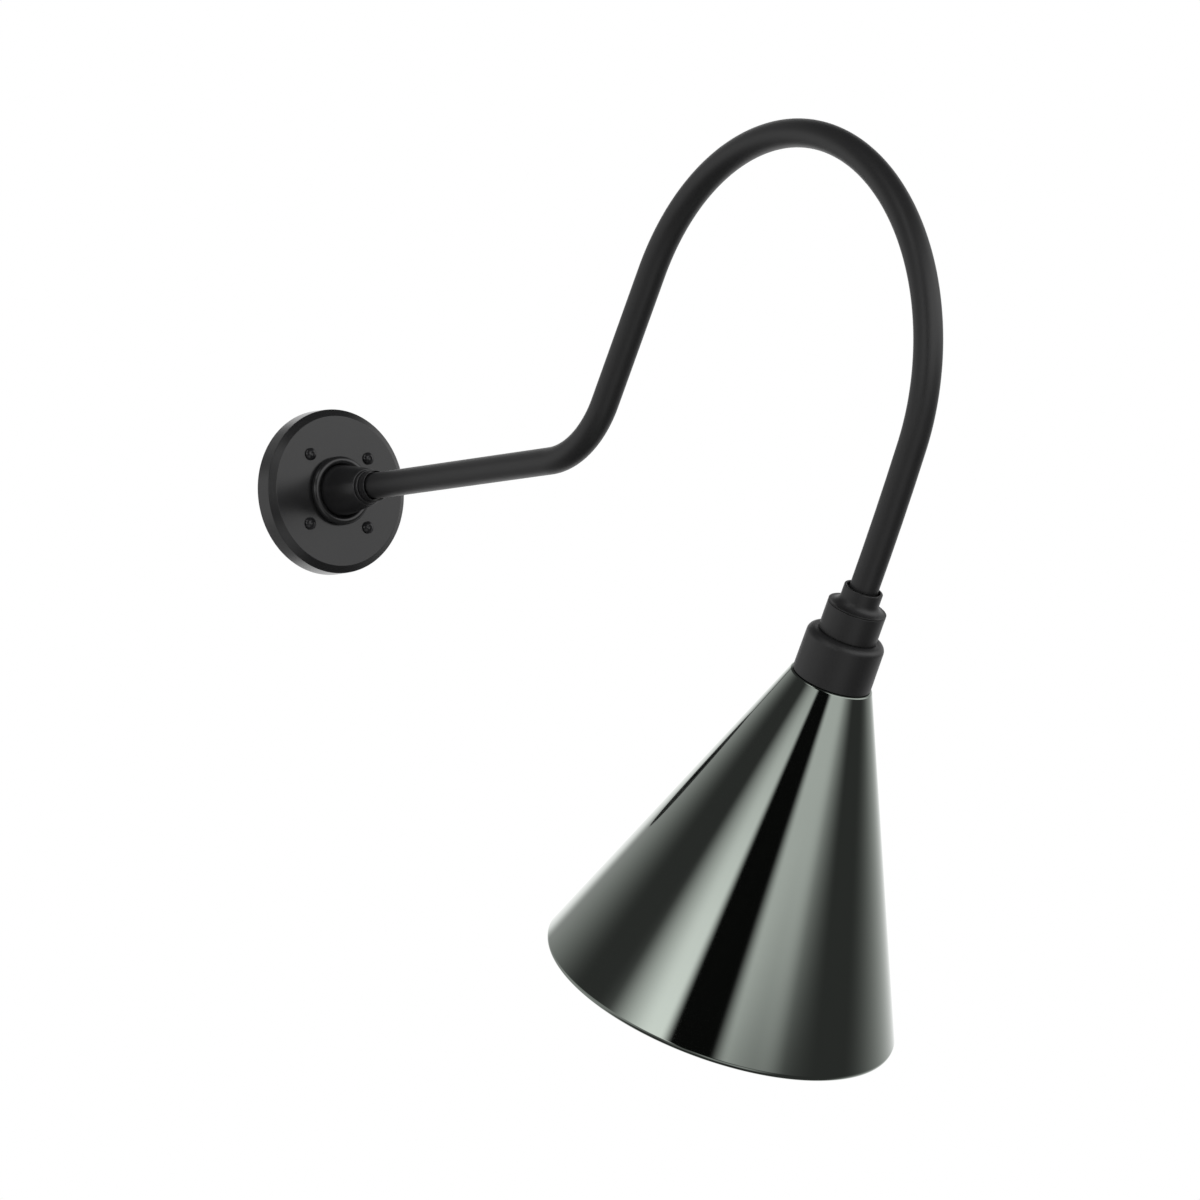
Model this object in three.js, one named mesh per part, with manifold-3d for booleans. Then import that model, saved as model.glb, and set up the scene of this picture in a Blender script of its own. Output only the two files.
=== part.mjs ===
// Gooseneck wall sconce: a round wall plate, a bent tube arm and a cone shade on a stepped neck.
// Lengths are in millimetres and angles in degrees. +Z is up, the wall is the plane Y = 0,
// and the lamp stands out from the wall along -Y. The origin is the centre of the plate's back.
import * as THREE from 'three';
import { mergeVertices, toCreasedNormals } from 'three/addons/utils/BufferGeometryUtils.js';
import Module from 'manifold-3d';

const wasm = await Module();
wasm.setup();

// Clearances and mesh fineness
const seatGap = 0.3;
const cutOverrun = 1;
const weldDistance = 0.0001;
const chordTolerance = 0.25;
const creaseAngle = 35;
const platedSides = 48;
const holderSides = 36;
const turnedSides = 24;
const hiddenSides = 20;
const tubeSides = 16;
const screwSides = 12;
const leadSides = 8;
const stationTurn = 8;

// Arm tube and its centreline, from the wall to the rim of the neck cup; the drop keeps a slight bow
const tubeRadius = 10;
const tubeWall = 1.5;
const rootLength = 288.4;
const elbowRadius = 77.3;
const elbowAngle = 58.1;
const riseLength = 103.7;
const archRiseRadius = 168.3;
const archFallRadius = 157.1;
const archFallAngle = 117.1;
const dropRadius = 1900;
const dropAngle = 3.15;

// Wall plate: a hollow-backed casting with a chamfered front
const plateRadius = 63.5;
const plateDraft = 0.4;
const plateSideDepth = 14;
const plateChamferWidth = 5.4;
const plateChamferDepth = 3.4;
const plateEdgeRounding = 0.5;
const plateFrontWall = 4;
const plateSideWall = 6.5;
const plateLip = 2;
const plateBossRadius = 5;

// Gasket and bracket behind the plate
const gasketThickness = 2;
const bracketThickness = 2;
const bracketEdgeClearance = 4;
const bracketBoreRadius = 16;
const boxSlotCircleRadii = [44.45, 34.9];
const boxSlotWidth = 5;
const boxSlotSpan = 26;

// Plate screws, on a square pattern, and the ground screw
const screwPitch = 53.3;
const screwShankRadius = 2.4;
const screwHeadRadius = 4.7;
const screwHeadHeight = 3.2;
const screwHeadRim = 0.7;
const screwSocketRadius = 1.7;
const screwSocketDepth = 1.5;
const screwTipMargin = 0.5;
const groundScrewAngle = 112.5;
const groundScrewShankRadius = 1.9;
const groundScrewHeadRadius = 4.2;
const groundScrewFlange = 1;
const groundScrewHexRadius = 3.2;
const groundScrewHexHeight = 2.4;

// Hub that carries the arm
const hubTailWall = 2.8;
const hubTailInset = 3;
const hubStopWidth = 2.6;
const hubStopThickness = 2.7;
const hubBaseWall = 9.7;
const hubFrontWall = 3.9;
const hubConeLength = 36;
const hubBeadSection = 3.2;
const hubBeadLift = 2.6;
const hubLipRounding = 0.5;
const hubWasherWidth = 5;
const hubWasherThickness = 1.5;
const hubNutFlats = 38;
const hubNutThickness = 6;
const setScrewRadius = 2;
const setScrewInset = 1;
const setScrewPlace = 17;
const setScrewAngle = -50;

// Collar in front of the hub
const collarFlangeWall = 2.8;
const collarFlangeLength = 2.7;
const collarGrooveWall = 1.2;
const collarGrooveLength = 1.2;
const collarRingWall = 1.7;
const collarRingLength = 6.3;
const collarLip = 0.8;
const collarRecessDepth = 3.5;
const collarRounding = 0.5;

// Neck cup round the arm's lower end
const neckRecessWidth = 1.9;
const neckRecessDepth = 5;
const neckRimWall = 1.75;
const neckRimRounding = 0.5;
const neckWallLength = 7.5;
const neckFlareRadius = 5.8;
const neckFlareFlat = 1.1;
const neckFlareEdge = 0.8;
const neckFloor = 2.9;

// Threaded nipple that clamps the neck stack, its nut and its washer
const nippleRadius = 5.15;
const nippleBore = 3.5;
const nippleReach = 12;
const bushingLength = 14;
const nippleWasherWidth = 4;
const nippleWasherThickness = 1.2;
const nippleNutFlats = 15;
const nippleNutThickness = 4;
const nippleTip = 0.5;

// Spacer cap between the neck cup and the shade holder
const spacerHeight = 19.8;
const spacerWall = 2;
const spacerTop = 2.5;
const spacerEdgeRounding = 0.5;

// Shade holder with its round shoulder
const holderStep = 6.8;
const holderHeight = 33.3;
const holderTop = 3;
const holderShoulder = 5;
const holderDraft = 0.35;
const holderWall = 3.4;
const holderInnerRounding = 2.5;
const holderEdgeRounding = 0.4;

// Cone shade
const shadeStep = 1.2;
const shadeHeight = 241.8;
const shadeMouthRadius = 126.2;
const shadeWall = 1.2;
const shadeTopRounding = 1.6;
const shadeRimRadius = 3;
const shadeRimTurn = 125;

// Ring that clamps the shade's top flange to the holder
const ringSleeveWall = 2.4;
const ringSleeveReach = 9.1;
const ringFlangeWidth = 3.6;
const ringFlangeThickness = 2;

// Lamp socket, its strap and screws
const strapHalfWidth = 14;
const strapFootReach = 5;
const strapThickness = 1.5;
const strapDepth = 12;
const strapFootClearance = 1;
const socketRadius = 19;
const socketFloor = 9.7;
const socketCavityDepth = 38;
const socketCavityRadius = 14.3;
const socketRounding = 1.6;
const socketGrooveDepth = 1.2;
const socketGrooveLength = 4;
const socketGroovePlace = 14;
const socketLeadRecessRadius = 3.2;
const socketLeadRecessDepth = 4;
const socketScrewPlace = 11;
const socketScrewRadius = 1.5;
const socketScrewHeadRadius = 3;
const socketScrewHeadHeight = 2.2;
const socketScrewTip = 0.3;

// Threaded screw shell and centre contact
const shellWall = 0.5;
const shellInset = 3;
const shellLength = 30;
const threadDepth = 0.7;
const threadPitch = 3.63;
const threadTurns = 4;
const threadStepsPerTurn = 4;
const shellSides = 16;
const contactLength = 12;
const contactRise = 4;
const contactWidth = 6;
const contactThickness = 0.8;

// Supply leads inside the arm
const leadRadius = 1.2;
const leadSpacing = 3;
const leadWallMargin = 0.5;

// Finishes
const blackCoat = { color: 0x2f2f31, roughness: 0.5, metalness: 0.35 };
const darkNickel = { color: 0x5c625d, roughness: 0.12, metalness: 1 };
const zincPlate = { color: 0x9a9c9e, roughness: 0.4, metalness: 0.9 };
const greenZinc = { color: 0x2f7d43, roughness: 0.45, metalness: 0.6 };
const porcelain = { color: 0xe9e6dc, roughness: 0.25, metalness: 0 };
const brass = { color: 0xb08d45, roughness: 0.3, metalness: 1 };
const foam = { color: 0x1c1c1c, roughness: 0.95, metalness: 0 };
const blackSleeve = { color: 0x202020, roughness: 0.6, metalness: 0 };
const whiteSleeve = { color: 0xe4e2da, roughness: 0.6, metalness: 0 };

// Sizes and places that follow from those above; wall distances grow outward, lamp distances downward
const radians = THREE.MathUtils.degToRad;
const rightAngle = 90;
const headLean = archFallAngle + dropAngle - rightAngle;
const tubeInnerRadius = tubeRadius - tubeWall;
const tubeBore = tubeRadius + seatGap;
const plateDepth = plateSideDepth + plateChamferDepth;
const plateFaceRadius = plateRadius - plateChamferWidth - plateDraft;
const plateInnerRadius = plateRadius - plateSideWall;
const plateInnerFace = plateDepth - plateFrontWall;
const plateLipRadius = plateRadius - plateLip;
const hubTailRadius = tubeBore + hubTailWall;
const plateBore = hubTailRadius + seatGap;
const hubSeat = plateDepth + seatGap;
const hubBaseRadius = tubeBore + hubBaseWall;
const hubBeadRadius = hubBaseRadius + hubBeadSection;
const hubConeStart = hubSeat + hubBeadLift + seatGap;
const hubFront = hubConeStart + hubConeLength;
const hubFrontRadius = tubeBore + hubFrontWall;
const hubStop = hubTailInset + hubStopThickness;
const armStart = hubStop + seatGap;
const collarStart = hubFront + seatGap;
const neckRadius = tubeRadius + neckRecessWidth + neckRimWall;
const neckFlarePlane = neckWallLength + neckFlareRadius;
const neckRadiusAtFlare = neckRadius + neckFlareRadius + neckFlareFlat;
const neckLength = neckFlarePlane + neckFlareEdge;
const neckFloorTop = neckLength - neckFloor;
const armEnd = neckFloorTop - seatGap;
const nippleHole = nippleRadius + seatGap;
const spacerStart = neckLength + seatGap;
const spacerRadius = neckRadiusAtFlare;
const holderStart = spacerStart + spacerHeight + seatGap;
const holderRadius = spacerRadius + holderStep;
const holderInnerRadius = holderRadius - holderWall;
const holderEnd = holderStart + holderHeight;
const strapStart = holderStart + holderTop + seatGap;
const washerStart = strapStart + strapThickness + seatGap;
const nutStart = washerStart + nippleWasherThickness + seatGap;
const nippleEnd = nutStart + nippleNutThickness + nippleTip;
const strapEnd = nippleEnd + strapFootClearance + strapThickness;
const socketStart = strapEnd + seatGap;
const socketFloorEnd = socketStart + socketFloor;
const socketEnd = socketFloorEnd + socketCavityDepth;
const shadeStart = holderEnd + seatGap;
const shadeTopRadius = holderRadius + holderDraft + shadeStep;
const ringSleeveRadius = holderInnerRadius - seatGap;
const ringFlangeStart = shadeStart + shadeWall + seatGap;
const leadEnd = socketStart + socketLeadRecessDepth - seatGap;

// Round corners

// A closed outline from corners [radius, height, rounding]; each rounded corner becomes a tangent arc
function roundCorners(corners) {
  return corners.flatMap((corner, i) => {
    const here = new THREE.Vector2(corner[0], corner[1]);
    const rounding = corner[2] ?? 0;
    if (rounding === 0) return [here];
    const before = corners[(i + corners.length - 1) % corners.length];
    const after = corners[(i + 1) % corners.length];
    const back = new THREE.Vector2(before[0], before[1]).sub(here).normalize();
    const ahead = new THREE.Vector2(after[0], after[1]).sub(here).normalize();
    const halfAngle = Math.acos(back.dot(ahead)) / 2;
    const centre = back.clone().add(ahead).setLength(rounding / Math.sin(halfAngle)).add(here);
    const start = back.clone().multiplyScalar(rounding / Math.tan(halfAngle)).add(here).sub(centre);
    const turn = Math.sign(back.cross(ahead)) * (2 * halfAngle - Math.PI);
    return arcPoints(centre, rounding, start.angle(), turn);
  });
}

// Points of an arc, close enough to keep its chords within the tolerance
function arcPoints(centre, radius, startAngle, turn) {
  const step = 2 * Math.acos(1 - Math.min(chordTolerance / radius, 1));
  const count = Math.max(1, Math.ceil(Math.abs(turn) / step));
  return Array.from({ length: count + 1 }, (_, k) => {
    const angle = startAngle + (turn * k) / count;
    return new THREE.Vector2(Math.cos(angle), Math.sin(angle)).multiplyScalar(radius).add(centre);
  });
}

function circlePoints(radius, sides, centre = new THREE.Vector2()) {
  return Array.from({ length: sides }, (_, k) => {
    const angle = (k / sides) * 2 * Math.PI;
    return new THREE.Vector2(Math.cos(angle), Math.sin(angle)).multiplyScalar(radius).add(centre);
  });
}

// Basic solids: turned, drawn and extruded

// Turns an outline of [radius, height] points round the Z axis
function turnOutline(outline, sides) {
  const points = THREE.ShapeUtils.area(outline) < 0 ? [...outline].reverse() : [...outline];
  const meetsAxis = points.some((point) => point.x === 0);
  if (meetsAxis) {
    const onAxis = (i) => points[i % points.length].x === 0;
    const last = points.findIndex((_, i) => onAxis(i) && onAxis(i + 1));
    points.push(...points.splice(0, last + 1));
  } else {
    points.push(points[0].clone());
  }
  return new THREE.LatheGeometry(points, sides).rotateX(Math.PI / 2);
}

function turned(corners, sides) {
  return turnOutline(roundCorners(corners), sides);
}

function ring(innerRadius, outerRadius, bottom, top, sides) {
  const corners = [[innerRadius, bottom], [outerRadius, bottom], [outerRadius, top], [innerRadius, top]];
  return turned(corners, sides);
}

function disc(radius, bottom, top, sides) {
  return turned([[0, bottom], [radius, bottom], [radius, top], [0, top]], sides);
}

function extruded(outline, holes, bottom, top) {
  const shape = new THREE.Shape(outline);
  shape.holes = holes.map((hole) => new THREE.Path(hole));
  const geometry = new THREE.ExtrudeGeometry(shape, { depth: top - bottom, bevelEnabled: false });
  return geometry.translate(0, 0, bottom);
}

// Cuts and joins

function toSolid(geometry) {
  const bare = geometry.clone();
  bare.deleteAttribute('normal');
  bare.deleteAttribute('uv');
  const welded = mergeVertices(bare, weldDistance);
  const index = welded.index.array;
  const triVerts = [];
  for (let i = 0; i < index.length; i += 3) {
    const [a, b, c] = index.slice(i, i + 3);
    if (a !== b && b !== c && c !== a) triVerts.push(a, b, c);
  }
  const mesh = new wasm.Mesh({
    numProp: 3,
    vertProperties: welded.attributes.position.array,
    triVerts: new Uint32Array(triVerts),
  });
  return new wasm.Manifold(mesh);
}

function toGeometry(solid) {
  const mesh = solid.getMesh();
  const geometry = new THREE.BufferGeometry();
  geometry.setAttribute('position', new THREE.BufferAttribute(new Float32Array(mesh.vertProperties), 3));
  geometry.setIndex(new THREE.BufferAttribute(new Uint32Array(mesh.triVerts), 1));
  return toCreasedNormals(geometry, radians(creaseAngle));
}

function cut(geometry, cutters) {
  return toGeometry(cutters.reduce((solid, cutter) => solid.subtract(toSolid(cutter)), toSolid(geometry)));
}

function join(geometries) {
  return toGeometry(geometries.map(toSolid).reduce((solid, next) => solid.add(next)));
}

function common(first, second) {
  return toGeometry(toSolid(first).intersect(toSolid(second)));
}

// A hexagonal bar with its corners turned off at both ends, bored through
function hexNut(acrossFlats, boreRadius, bottom, top) {
  const cornerRadius = acrossFlats / Math.sqrt(3);
  const turnedOff = cornerRadius - acrossFlats / 2;
  const hexagon = circlePoints(cornerRadius, 6);
  const bar = extruded(hexagon, [circlePoints(boreRadius, hiddenSides)], bottom, top);
  const faceRadius = cornerRadius - turnedOff;
  const envelope = turned(
    [
      [0, bottom],
      [faceRadius, bottom],
      [cornerRadius, bottom + turnedOff / 2],
      [cornerRadius, top - turnedOff / 2],
      [faceRadius, top],
      [0, top],
    ],
    hiddenSides,
  );
  return common(bar, envelope);
}

// The arm's centreline

// A path that is followed from station to station, each with a point and a direction
class StationPath extends THREE.Curve {
  constructor(stations) {
    super();
    this.stations = stations;
  }

  stationAt(share) {
    return this.stations[Math.round(share * (this.stations.length - 1))];
  }

  getPoint(share) {
    return this.stationAt(share).point.clone();
  }

  getPointAt(share) {
    return this.getPoint(share);
  }

  getTangentAt(share) {
    return this.stationAt(share).direction.clone();
  }
}

// Stations along the arm's centreline, shifted sideways, from a wall distance to a lamp distance
function armStations(wallDistance, lampDistance, sideShift) {
  const legs = [
    { length: rootLength - wallDistance },
    { radius: elbowRadius, turn: elbowAngle },
    { length: riseLength },
    { radius: archRiseRadius, turn: -elbowAngle },
    { radius: archFallRadius, turn: -rightAngle },
    { radius: archFallRadius, turn: rightAngle - archFallAngle },
    { radius: dropRadius, turn: -dropAngle / 2 },
    { radius: dropRadius, turn: -dropAngle / 2 },
    { length: lampDistance },
  ];
  const stations = [];
  let out = wallDistance;
  let up = 0;
  let heading = 0;
  const addStation = () => {
    stations.push({
      point: new THREE.Vector3(sideShift, -out, up),
      direction: new THREE.Vector3(0, -Math.cos(heading), Math.sin(heading)),
    });
  };
  addStation();
  legs.forEach(({ length, radius, turn }) => {
    if (length !== undefined) {
      out += length * Math.cos(heading);
      up += length * Math.sin(heading);
      addStation();
      return;
    }
    const side = Math.sign(turn);
    const centreOut = out - side * radius * Math.sin(heading);
    const centreUp = up + side * radius * Math.cos(heading);
    const steps = Math.ceil(Math.abs(turn) / stationTurn);
    const startHeading = heading;
    for (let k = 1; k <= steps; k += 1) {
      heading = startHeading + (radians(turn) * k) / steps;
      out = centreOut + side * radius * Math.sin(heading);
      up = centreUp - side * radius * Math.cos(heading);
      addStation();
    }
  });
  return stations;
}

function drawnAlongArm(outline, holes, wallDistance, lampDistance, sideShift = 0) {
  const stations = armStations(wallDistance, lampDistance, sideShift);
  const shape = new THREE.Shape(outline);
  shape.holes = holes.map((hole) => new THREE.Path(hole));
  return new THREE.ExtrudeGeometry(shape, {
    steps: stations.length - 1,
    extrudePath: new StationPath(stations),
    bevelEnabled: false,
  });
}

// Pieces at the wall; Z runs outward from the wall

function screwPlaces() {
  const reach = screwPitch / 2;
  return {
    upper_left: new THREE.Vector2(-reach, reach),
    upper_right: new THREE.Vector2(reach, reach),
    lower_left: new THREE.Vector2(-reach, -reach),
    lower_right: new THREE.Vector2(reach, -reach),
  };
}

function wallGasket() {
  return ring(plateInnerRadius + seatGap, plateLipRadius - seatGap, 0, gasketThickness, platedSides);
}

function wallPlate() {
  const rebate = gasketThickness + seatGap;
  const shell = turned(
    [
      [plateLipRadius, 0],
      [plateRadius, 0],
      [plateRadius - plateDraft, plateSideDepth, plateEdgeRounding],
      [plateFaceRadius, plateDepth, plateEdgeRounding],
      [plateBore, plateDepth],
      [plateBore, plateInnerFace],
      [plateInnerRadius, plateInnerFace],
      [plateInnerRadius, rebate],
      [plateLipRadius, rebate],
    ],
    platedSides,
  );
  const bossEnd = bracketThickness + seatGap;
  const bossRoot = plateInnerFace + plateFrontWall / 2;
  const holeRadius = screwShankRadius + seatGap;
  const places = Object.values(screwPlaces());
  const bosses = places.map(({ x, y }) =>
    disc(plateBossRadius, bossEnd, bossRoot, screwSides).translate(x, y, 0));
  const holes = places.map(({ x, y }) =>
    disc(holeRadius, bossEnd - cutOverrun, plateDepth + cutOverrun, screwSides).translate(x, y, 0));
  return cut(join([shell, ...bosses]), holes);
}

// A slot bent round the bracket's centre
function boxSlot(circleRadius, middleAngle) {
  const halfWidth = boxSlotWidth / 2;
  const halfSpan = boxSlotSpan / 2;
  const start = radians(middleAngle - halfSpan);
  const end = radians(middleAngle + halfSpan);
  const origin = new THREE.Vector2();
  const startCentre = new THREE.Vector2(Math.cos(start), Math.sin(start)).multiplyScalar(circleRadius);
  const endCentre = new THREE.Vector2(Math.cos(end), Math.sin(end)).multiplyScalar(circleRadius);
  return [
    ...arcPoints(origin, circleRadius + halfWidth, start, end - start).slice(0, -1),
    ...arcPoints(endCentre, halfWidth, end, Math.PI).slice(0, -1),
    ...arcPoints(origin, circleRadius - halfWidth, end, start - end).slice(0, -1),
    ...arcPoints(startCentre, halfWidth, start + Math.PI, Math.PI).slice(0, -1),
  ];
}

function groundScrewPlace() {
  const angle = radians(groundScrewAngle);
  return new THREE.Vector2(Math.cos(angle), Math.sin(angle)).multiplyScalar(boxSlotCircleRadii[0]);
}

function mountingBracket() {
  const radius = plateInnerRadius - bracketEdgeClearance;
  const tappedRadius = screwShankRadius + seatGap;
  const groundRadius = groundScrewShankRadius + seatGap;
  const slots = boxSlotCircleRadii.flatMap((circleRadius, i) =>
    [0, 180].map((turn) => boxSlot(circleRadius, turn + i * 90)));
  const holes = [
    circlePoints(bracketBoreRadius, hiddenSides),
    circlePoints(groundRadius, screwSides, groundScrewPlace()),
    ...Object.values(screwPlaces()).map((place) => circlePoints(tappedRadius, screwSides, place)),
    ...slots,
  ];
  return extruded(circlePoints(radius, holderSides), holes, 0, bracketThickness);
}

// A button-head screw with a hexagonal socket in its dome
function plateScrew() {
  const crown = hubSeat + screwHeadHeight;
  const domeHeight = screwHeadHeight - screwHeadRim;
  const domeRadius = (screwHeadRadius ** 2 + domeHeight ** 2) / (2 * domeHeight);
  const domeCentre = new THREE.Vector2(0, crown - domeRadius);
  const edgeAngle = Math.atan2(domeRadius - domeHeight, screwHeadRadius);
  const body = turnOutline(
    [
      new THREE.Vector2(0, screwTipMargin),
      new THREE.Vector2(screwShankRadius, screwTipMargin),
      new THREE.Vector2(screwShankRadius, hubSeat),
      new THREE.Vector2(screwHeadRadius, hubSeat),
      ...arcPoints(domeCentre, domeRadius, edgeAngle, Math.PI / 2 - edgeAngle).slice(0, -1),
      new THREE.Vector2(0, crown),
    ],
    screwSides,
  );
  const driveFloor = crown - screwSocketDepth;
  const socket = extruded(circlePoints(screwSocketRadius, 6), [], driveFloor, crown + cutOverrun);
  return cut(body, [socket]);
}

// A hexagon-head screw with a flange, in the bracket
function groundScrew() {
  const seat = bracketThickness + seatGap;
  const flangeTop = seat + groundScrewFlange;
  const stem = turned(
    [
      [0, screwTipMargin],
      [groundScrewShankRadius, screwTipMargin],
      [groundScrewShankRadius, seat],
      [groundScrewHeadRadius, seat],
      [groundScrewHeadRadius, flangeTop],
      [0, flangeTop],
    ],
    screwSides,
  );
  const head = extruded(circlePoints(groundScrewHexRadius, 6), [], seat, flangeTop + groundScrewHexHeight);
  return join([stem, head]);
}

// The hub: a threaded tail through the plate, a round bead on its face and a tapered barrel
function armHub() {
  const beadCentre = new THREE.Vector2(hubBeadRadius, hubSeat + hubBeadLift);
  const seatAngle = Math.asin(hubBeadLift / hubBeadSection);
  const rootAngle = Math.PI - Math.asin(seatGap / hubBeadSection);
  const bead = arcPoints(beadCentre, hubBeadSection, -seatAngle, seatAngle + rootAngle);
  const body = turnOutline(
    [
      ...roundCorners([
        [hubTailRadius, hubSeat],
        [hubTailRadius, hubTailInset],
        [tubeBore - hubStopWidth, hubTailInset],
        [tubeBore - hubStopWidth, hubStop],
        [tubeBore, hubStop],
        [tubeBore, hubFront],
        [hubFrontRadius, hubFront, hubLipRounding],
        [hubBaseRadius, hubConeStart],
      ]).slice(0, -1),
      ...bead.reverse(),
    ],
    turnedSides,
  );
  return cut(body, [setScrewBlank(setScrewRadius + seatGap, 0, hubBeadRadius)]);
}

// A round bar across the hub's axis, between two distances from that axis
function setScrewBlank(radius, start, end) {
  const angle = radians(setScrewAngle);
  return disc(radius, start, end, screwSides)
    .rotateY(Math.PI / 2)
    .rotateZ(angle)
    .translate(0, 0, hubConeStart + setScrewPlace);
}

function hubSetScrew() {
  const taper = (hubBaseRadius - hubFrontRadius) / hubConeLength;
  const surface = hubBaseRadius - taper * setScrewPlace;
  const outerEnd = surface - setScrewInset - setScrewRadius * taper;
  const socket = setScrewBlank(setScrewRadius / 2, outerEnd - setScrewRadius, outerEnd + cutOverrun);
  return cut(setScrewBlank(setScrewRadius, tubeBore, outerEnd), [socket]);
}

function hubLockWasher() {
  const top = plateInnerFace - seatGap;
  const bore = hubTailRadius + seatGap;
  return ring(bore, bore + hubWasherWidth, top - hubWasherThickness, top, hiddenSides);
}

function hubLockNut() {
  const top = plateInnerFace - seatGap - hubWasherThickness - seatGap;
  return hexNut(hubNutFlats, hubTailRadius + seatGap, top - hubNutThickness, top);
}

// A stepped ring round the tube with an open recess at its front
function armCollar() {
  const flangeEnd = collarStart + collarFlangeLength;
  const grooveEnd = flangeEnd + collarGrooveLength;
  const ringEnd = grooveEnd + collarRingLength;
  const ringRadius = tubeBore + collarRingWall;
  return turned(
    [
      [tubeBore, collarStart],
      [tubeBore + collarFlangeWall, collarStart],
      [tubeBore + collarFlangeWall, flangeEnd, collarRounding],
      [tubeBore + collarGrooveWall, flangeEnd],
      [tubeBore + collarGrooveWall, grooveEnd],
      [ringRadius, grooveEnd, collarRounding],
      [ringRadius, ringEnd, collarRounding / 2],
      [ringRadius - collarLip, ringEnd],
      [ringRadius - collarLip, ringEnd - collarRecessDepth],
      [tubeBore, ringEnd - collarRecessDepth],
    ],
    turnedSides,
  );
}

// The arm tube and the leads inside it

function gooseneckArm() {
  const outline = circlePoints(tubeRadius, tubeSides);
  const bore = circlePoints(tubeInnerRadius, tubeSides);
  return drawnAlongArm(outline, [bore], armStart, armEnd);
}

function supplyLead(side) {
  const sideShift = (side * leadSpacing) / 2;
  return drawnAlongArm(circlePoints(leadRadius, leadSides), [], leadWallMargin, leadEnd, sideShift);
}

// Pieces of the lamp head; Z runs up its axis from the rim of the neck cup

function armEndBushing() {
  return ring(nippleHole, tubeInnerRadius - seatGap, -armEnd, bushingLength - armEnd, tubeSides);
}

// A cup with an open recess round the tube and a flared foot
function neckCup() {
  const recessRadius = tubeRadius + neckRecessWidth;
  return turned(
    [
      [recessRadius, 0],
      [neckRadius, 0, neckRimRounding],
      [neckRadius, -neckFlarePlane, neckFlareRadius],
      [neckRadiusAtFlare, -neckFlarePlane],
      [neckRadiusAtFlare, -neckLength],
      [nippleHole, -neckLength],
      [nippleHole, -neckFloorTop],
      [tubeBore, -neckFloorTop],
      [tubeBore, -neckRecessDepth],
      [recessRadius, -neckRecessDepth],
    ],
    turnedSides,
  );
}

function spacerCap() {
  const bottom = -spacerStart - spacerHeight;
  return turned(
    [
      [nippleHole, -spacerStart],
      [spacerRadius, -spacerStart, spacerEdgeRounding],
      [spacerRadius, bottom],
      [spacerRadius - spacerWall, bottom],
      [spacerRadius - spacerWall, -spacerStart - spacerTop, spacerWall],
      [nippleHole, -spacerStart - spacerTop],
    ],
    turnedSides,
  );
}

function shadeHolder() {
  return turned(
    [
      [nippleHole, -holderStart],
      [holderRadius, -holderStart, holderShoulder],
      [holderRadius + holderDraft, -holderEnd, holderEdgeRounding],
      [holderInnerRadius, -holderEnd],
      [holderInnerRadius, -holderStart - holderTop, holderInnerRounding],
      [nippleHole, -holderStart - holderTop],
    ],
    holderSides,
  );
}

function threadedNipple() {
  return ring(nippleBore, nippleRadius, -nippleEnd, nippleReach - armEnd, tubeSides);
}

function nippleWasher() {
  const bottom = -washerStart - nippleWasherThickness;
  return ring(nippleHole, nippleHole + nippleWasherWidth - seatGap, bottom, -washerStart, tubeSides);
}

function nippleLockNut() {
  return hexNut(nippleNutFlats, nippleHole, -nutStart - nippleNutThickness, -nutStart);
}

// A strap bent like a square hook on both sides, with feet turned in under the nut
function socketStrap() {
  const inner = strapHalfWidth - strapThickness;
  const footInner = strapHalfWidth - strapFootReach;
  const rightHalf = [
    [strapHalfWidth, -strapStart],
    [strapHalfWidth, -strapEnd],
    [footInner, -strapEnd],
    [footInner, -strapEnd + strapThickness],
    [inner, -strapEnd + strapThickness],
    [inner, -strapStart - strapThickness],
  ];
  const leftHalf = rightHalf.map(([x, y]) => [-x, y]).reverse();
  const outline = [...rightHalf, ...leftHalf].map(([x, y]) => new THREE.Vector2(x, y));
  const strap = extruded(outline, [], -strapDepth / 2, strapDepth / 2).rotateX(Math.PI / 2);
  const underTop = -strapStart - strapThickness - cutOverrun;
  const overFeet = -strapEnd + strapThickness + cutOverrun;
  const screwHole = socketScrewRadius + seatGap;
  const screwCutters = [-1, 1].map((side) =>
    disc(screwHole, -strapEnd - cutOverrun, overFeet, screwSides).translate(side * socketScrewPlace, 0, 0));
  return cut(strap, [disc(nippleHole, underTop, -strapStart + cutOverrun, tubeSides), ...screwCutters]);
}

// The porcelain socket: a deep cup with a waist groove, screw holes and a recess for the leads
function lampSocket() {
  const grooveTop = -socketStart - socketGroovePlace;
  const grooveRadius = socketRadius - socketGrooveDepth;
  const body = turned(
    [
      [0, -socketStart],
      [socketRadius, -socketStart, socketRounding],
      [socketRadius, grooveTop, socketRounding / 2],
      [grooveRadius, grooveTop - socketGrooveDepth],
      [grooveRadius, grooveTop - socketGrooveLength],
      [socketRadius, grooveTop - socketGrooveLength - socketGrooveDepth, socketRounding / 2],
      [socketRadius, -socketEnd, socketRounding],
      [socketCavityRadius, -socketEnd],
      [socketCavityRadius, -socketFloorEnd],
      [0, -socketFloorEnd],
    ],
    hiddenSides,
  );
  const leadRecess = disc(
    socketLeadRecessRadius,
    -socketStart - socketLeadRecessDepth,
    -socketStart + cutOverrun,
    tubeSides,
  );
  const screwHole = socketScrewRadius + seatGap;
  const underFloor = -socketFloorEnd - cutOverrun;
  const overTop = -socketStart + cutOverrun;
  const screwHoles = [-1, 1].map((side) =>
    disc(screwHole, underFloor, overTop, screwSides).translate(side * socketScrewPlace, 0, 0));
  return cut(body, [leadRecess, ...screwHoles]);
}

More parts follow.
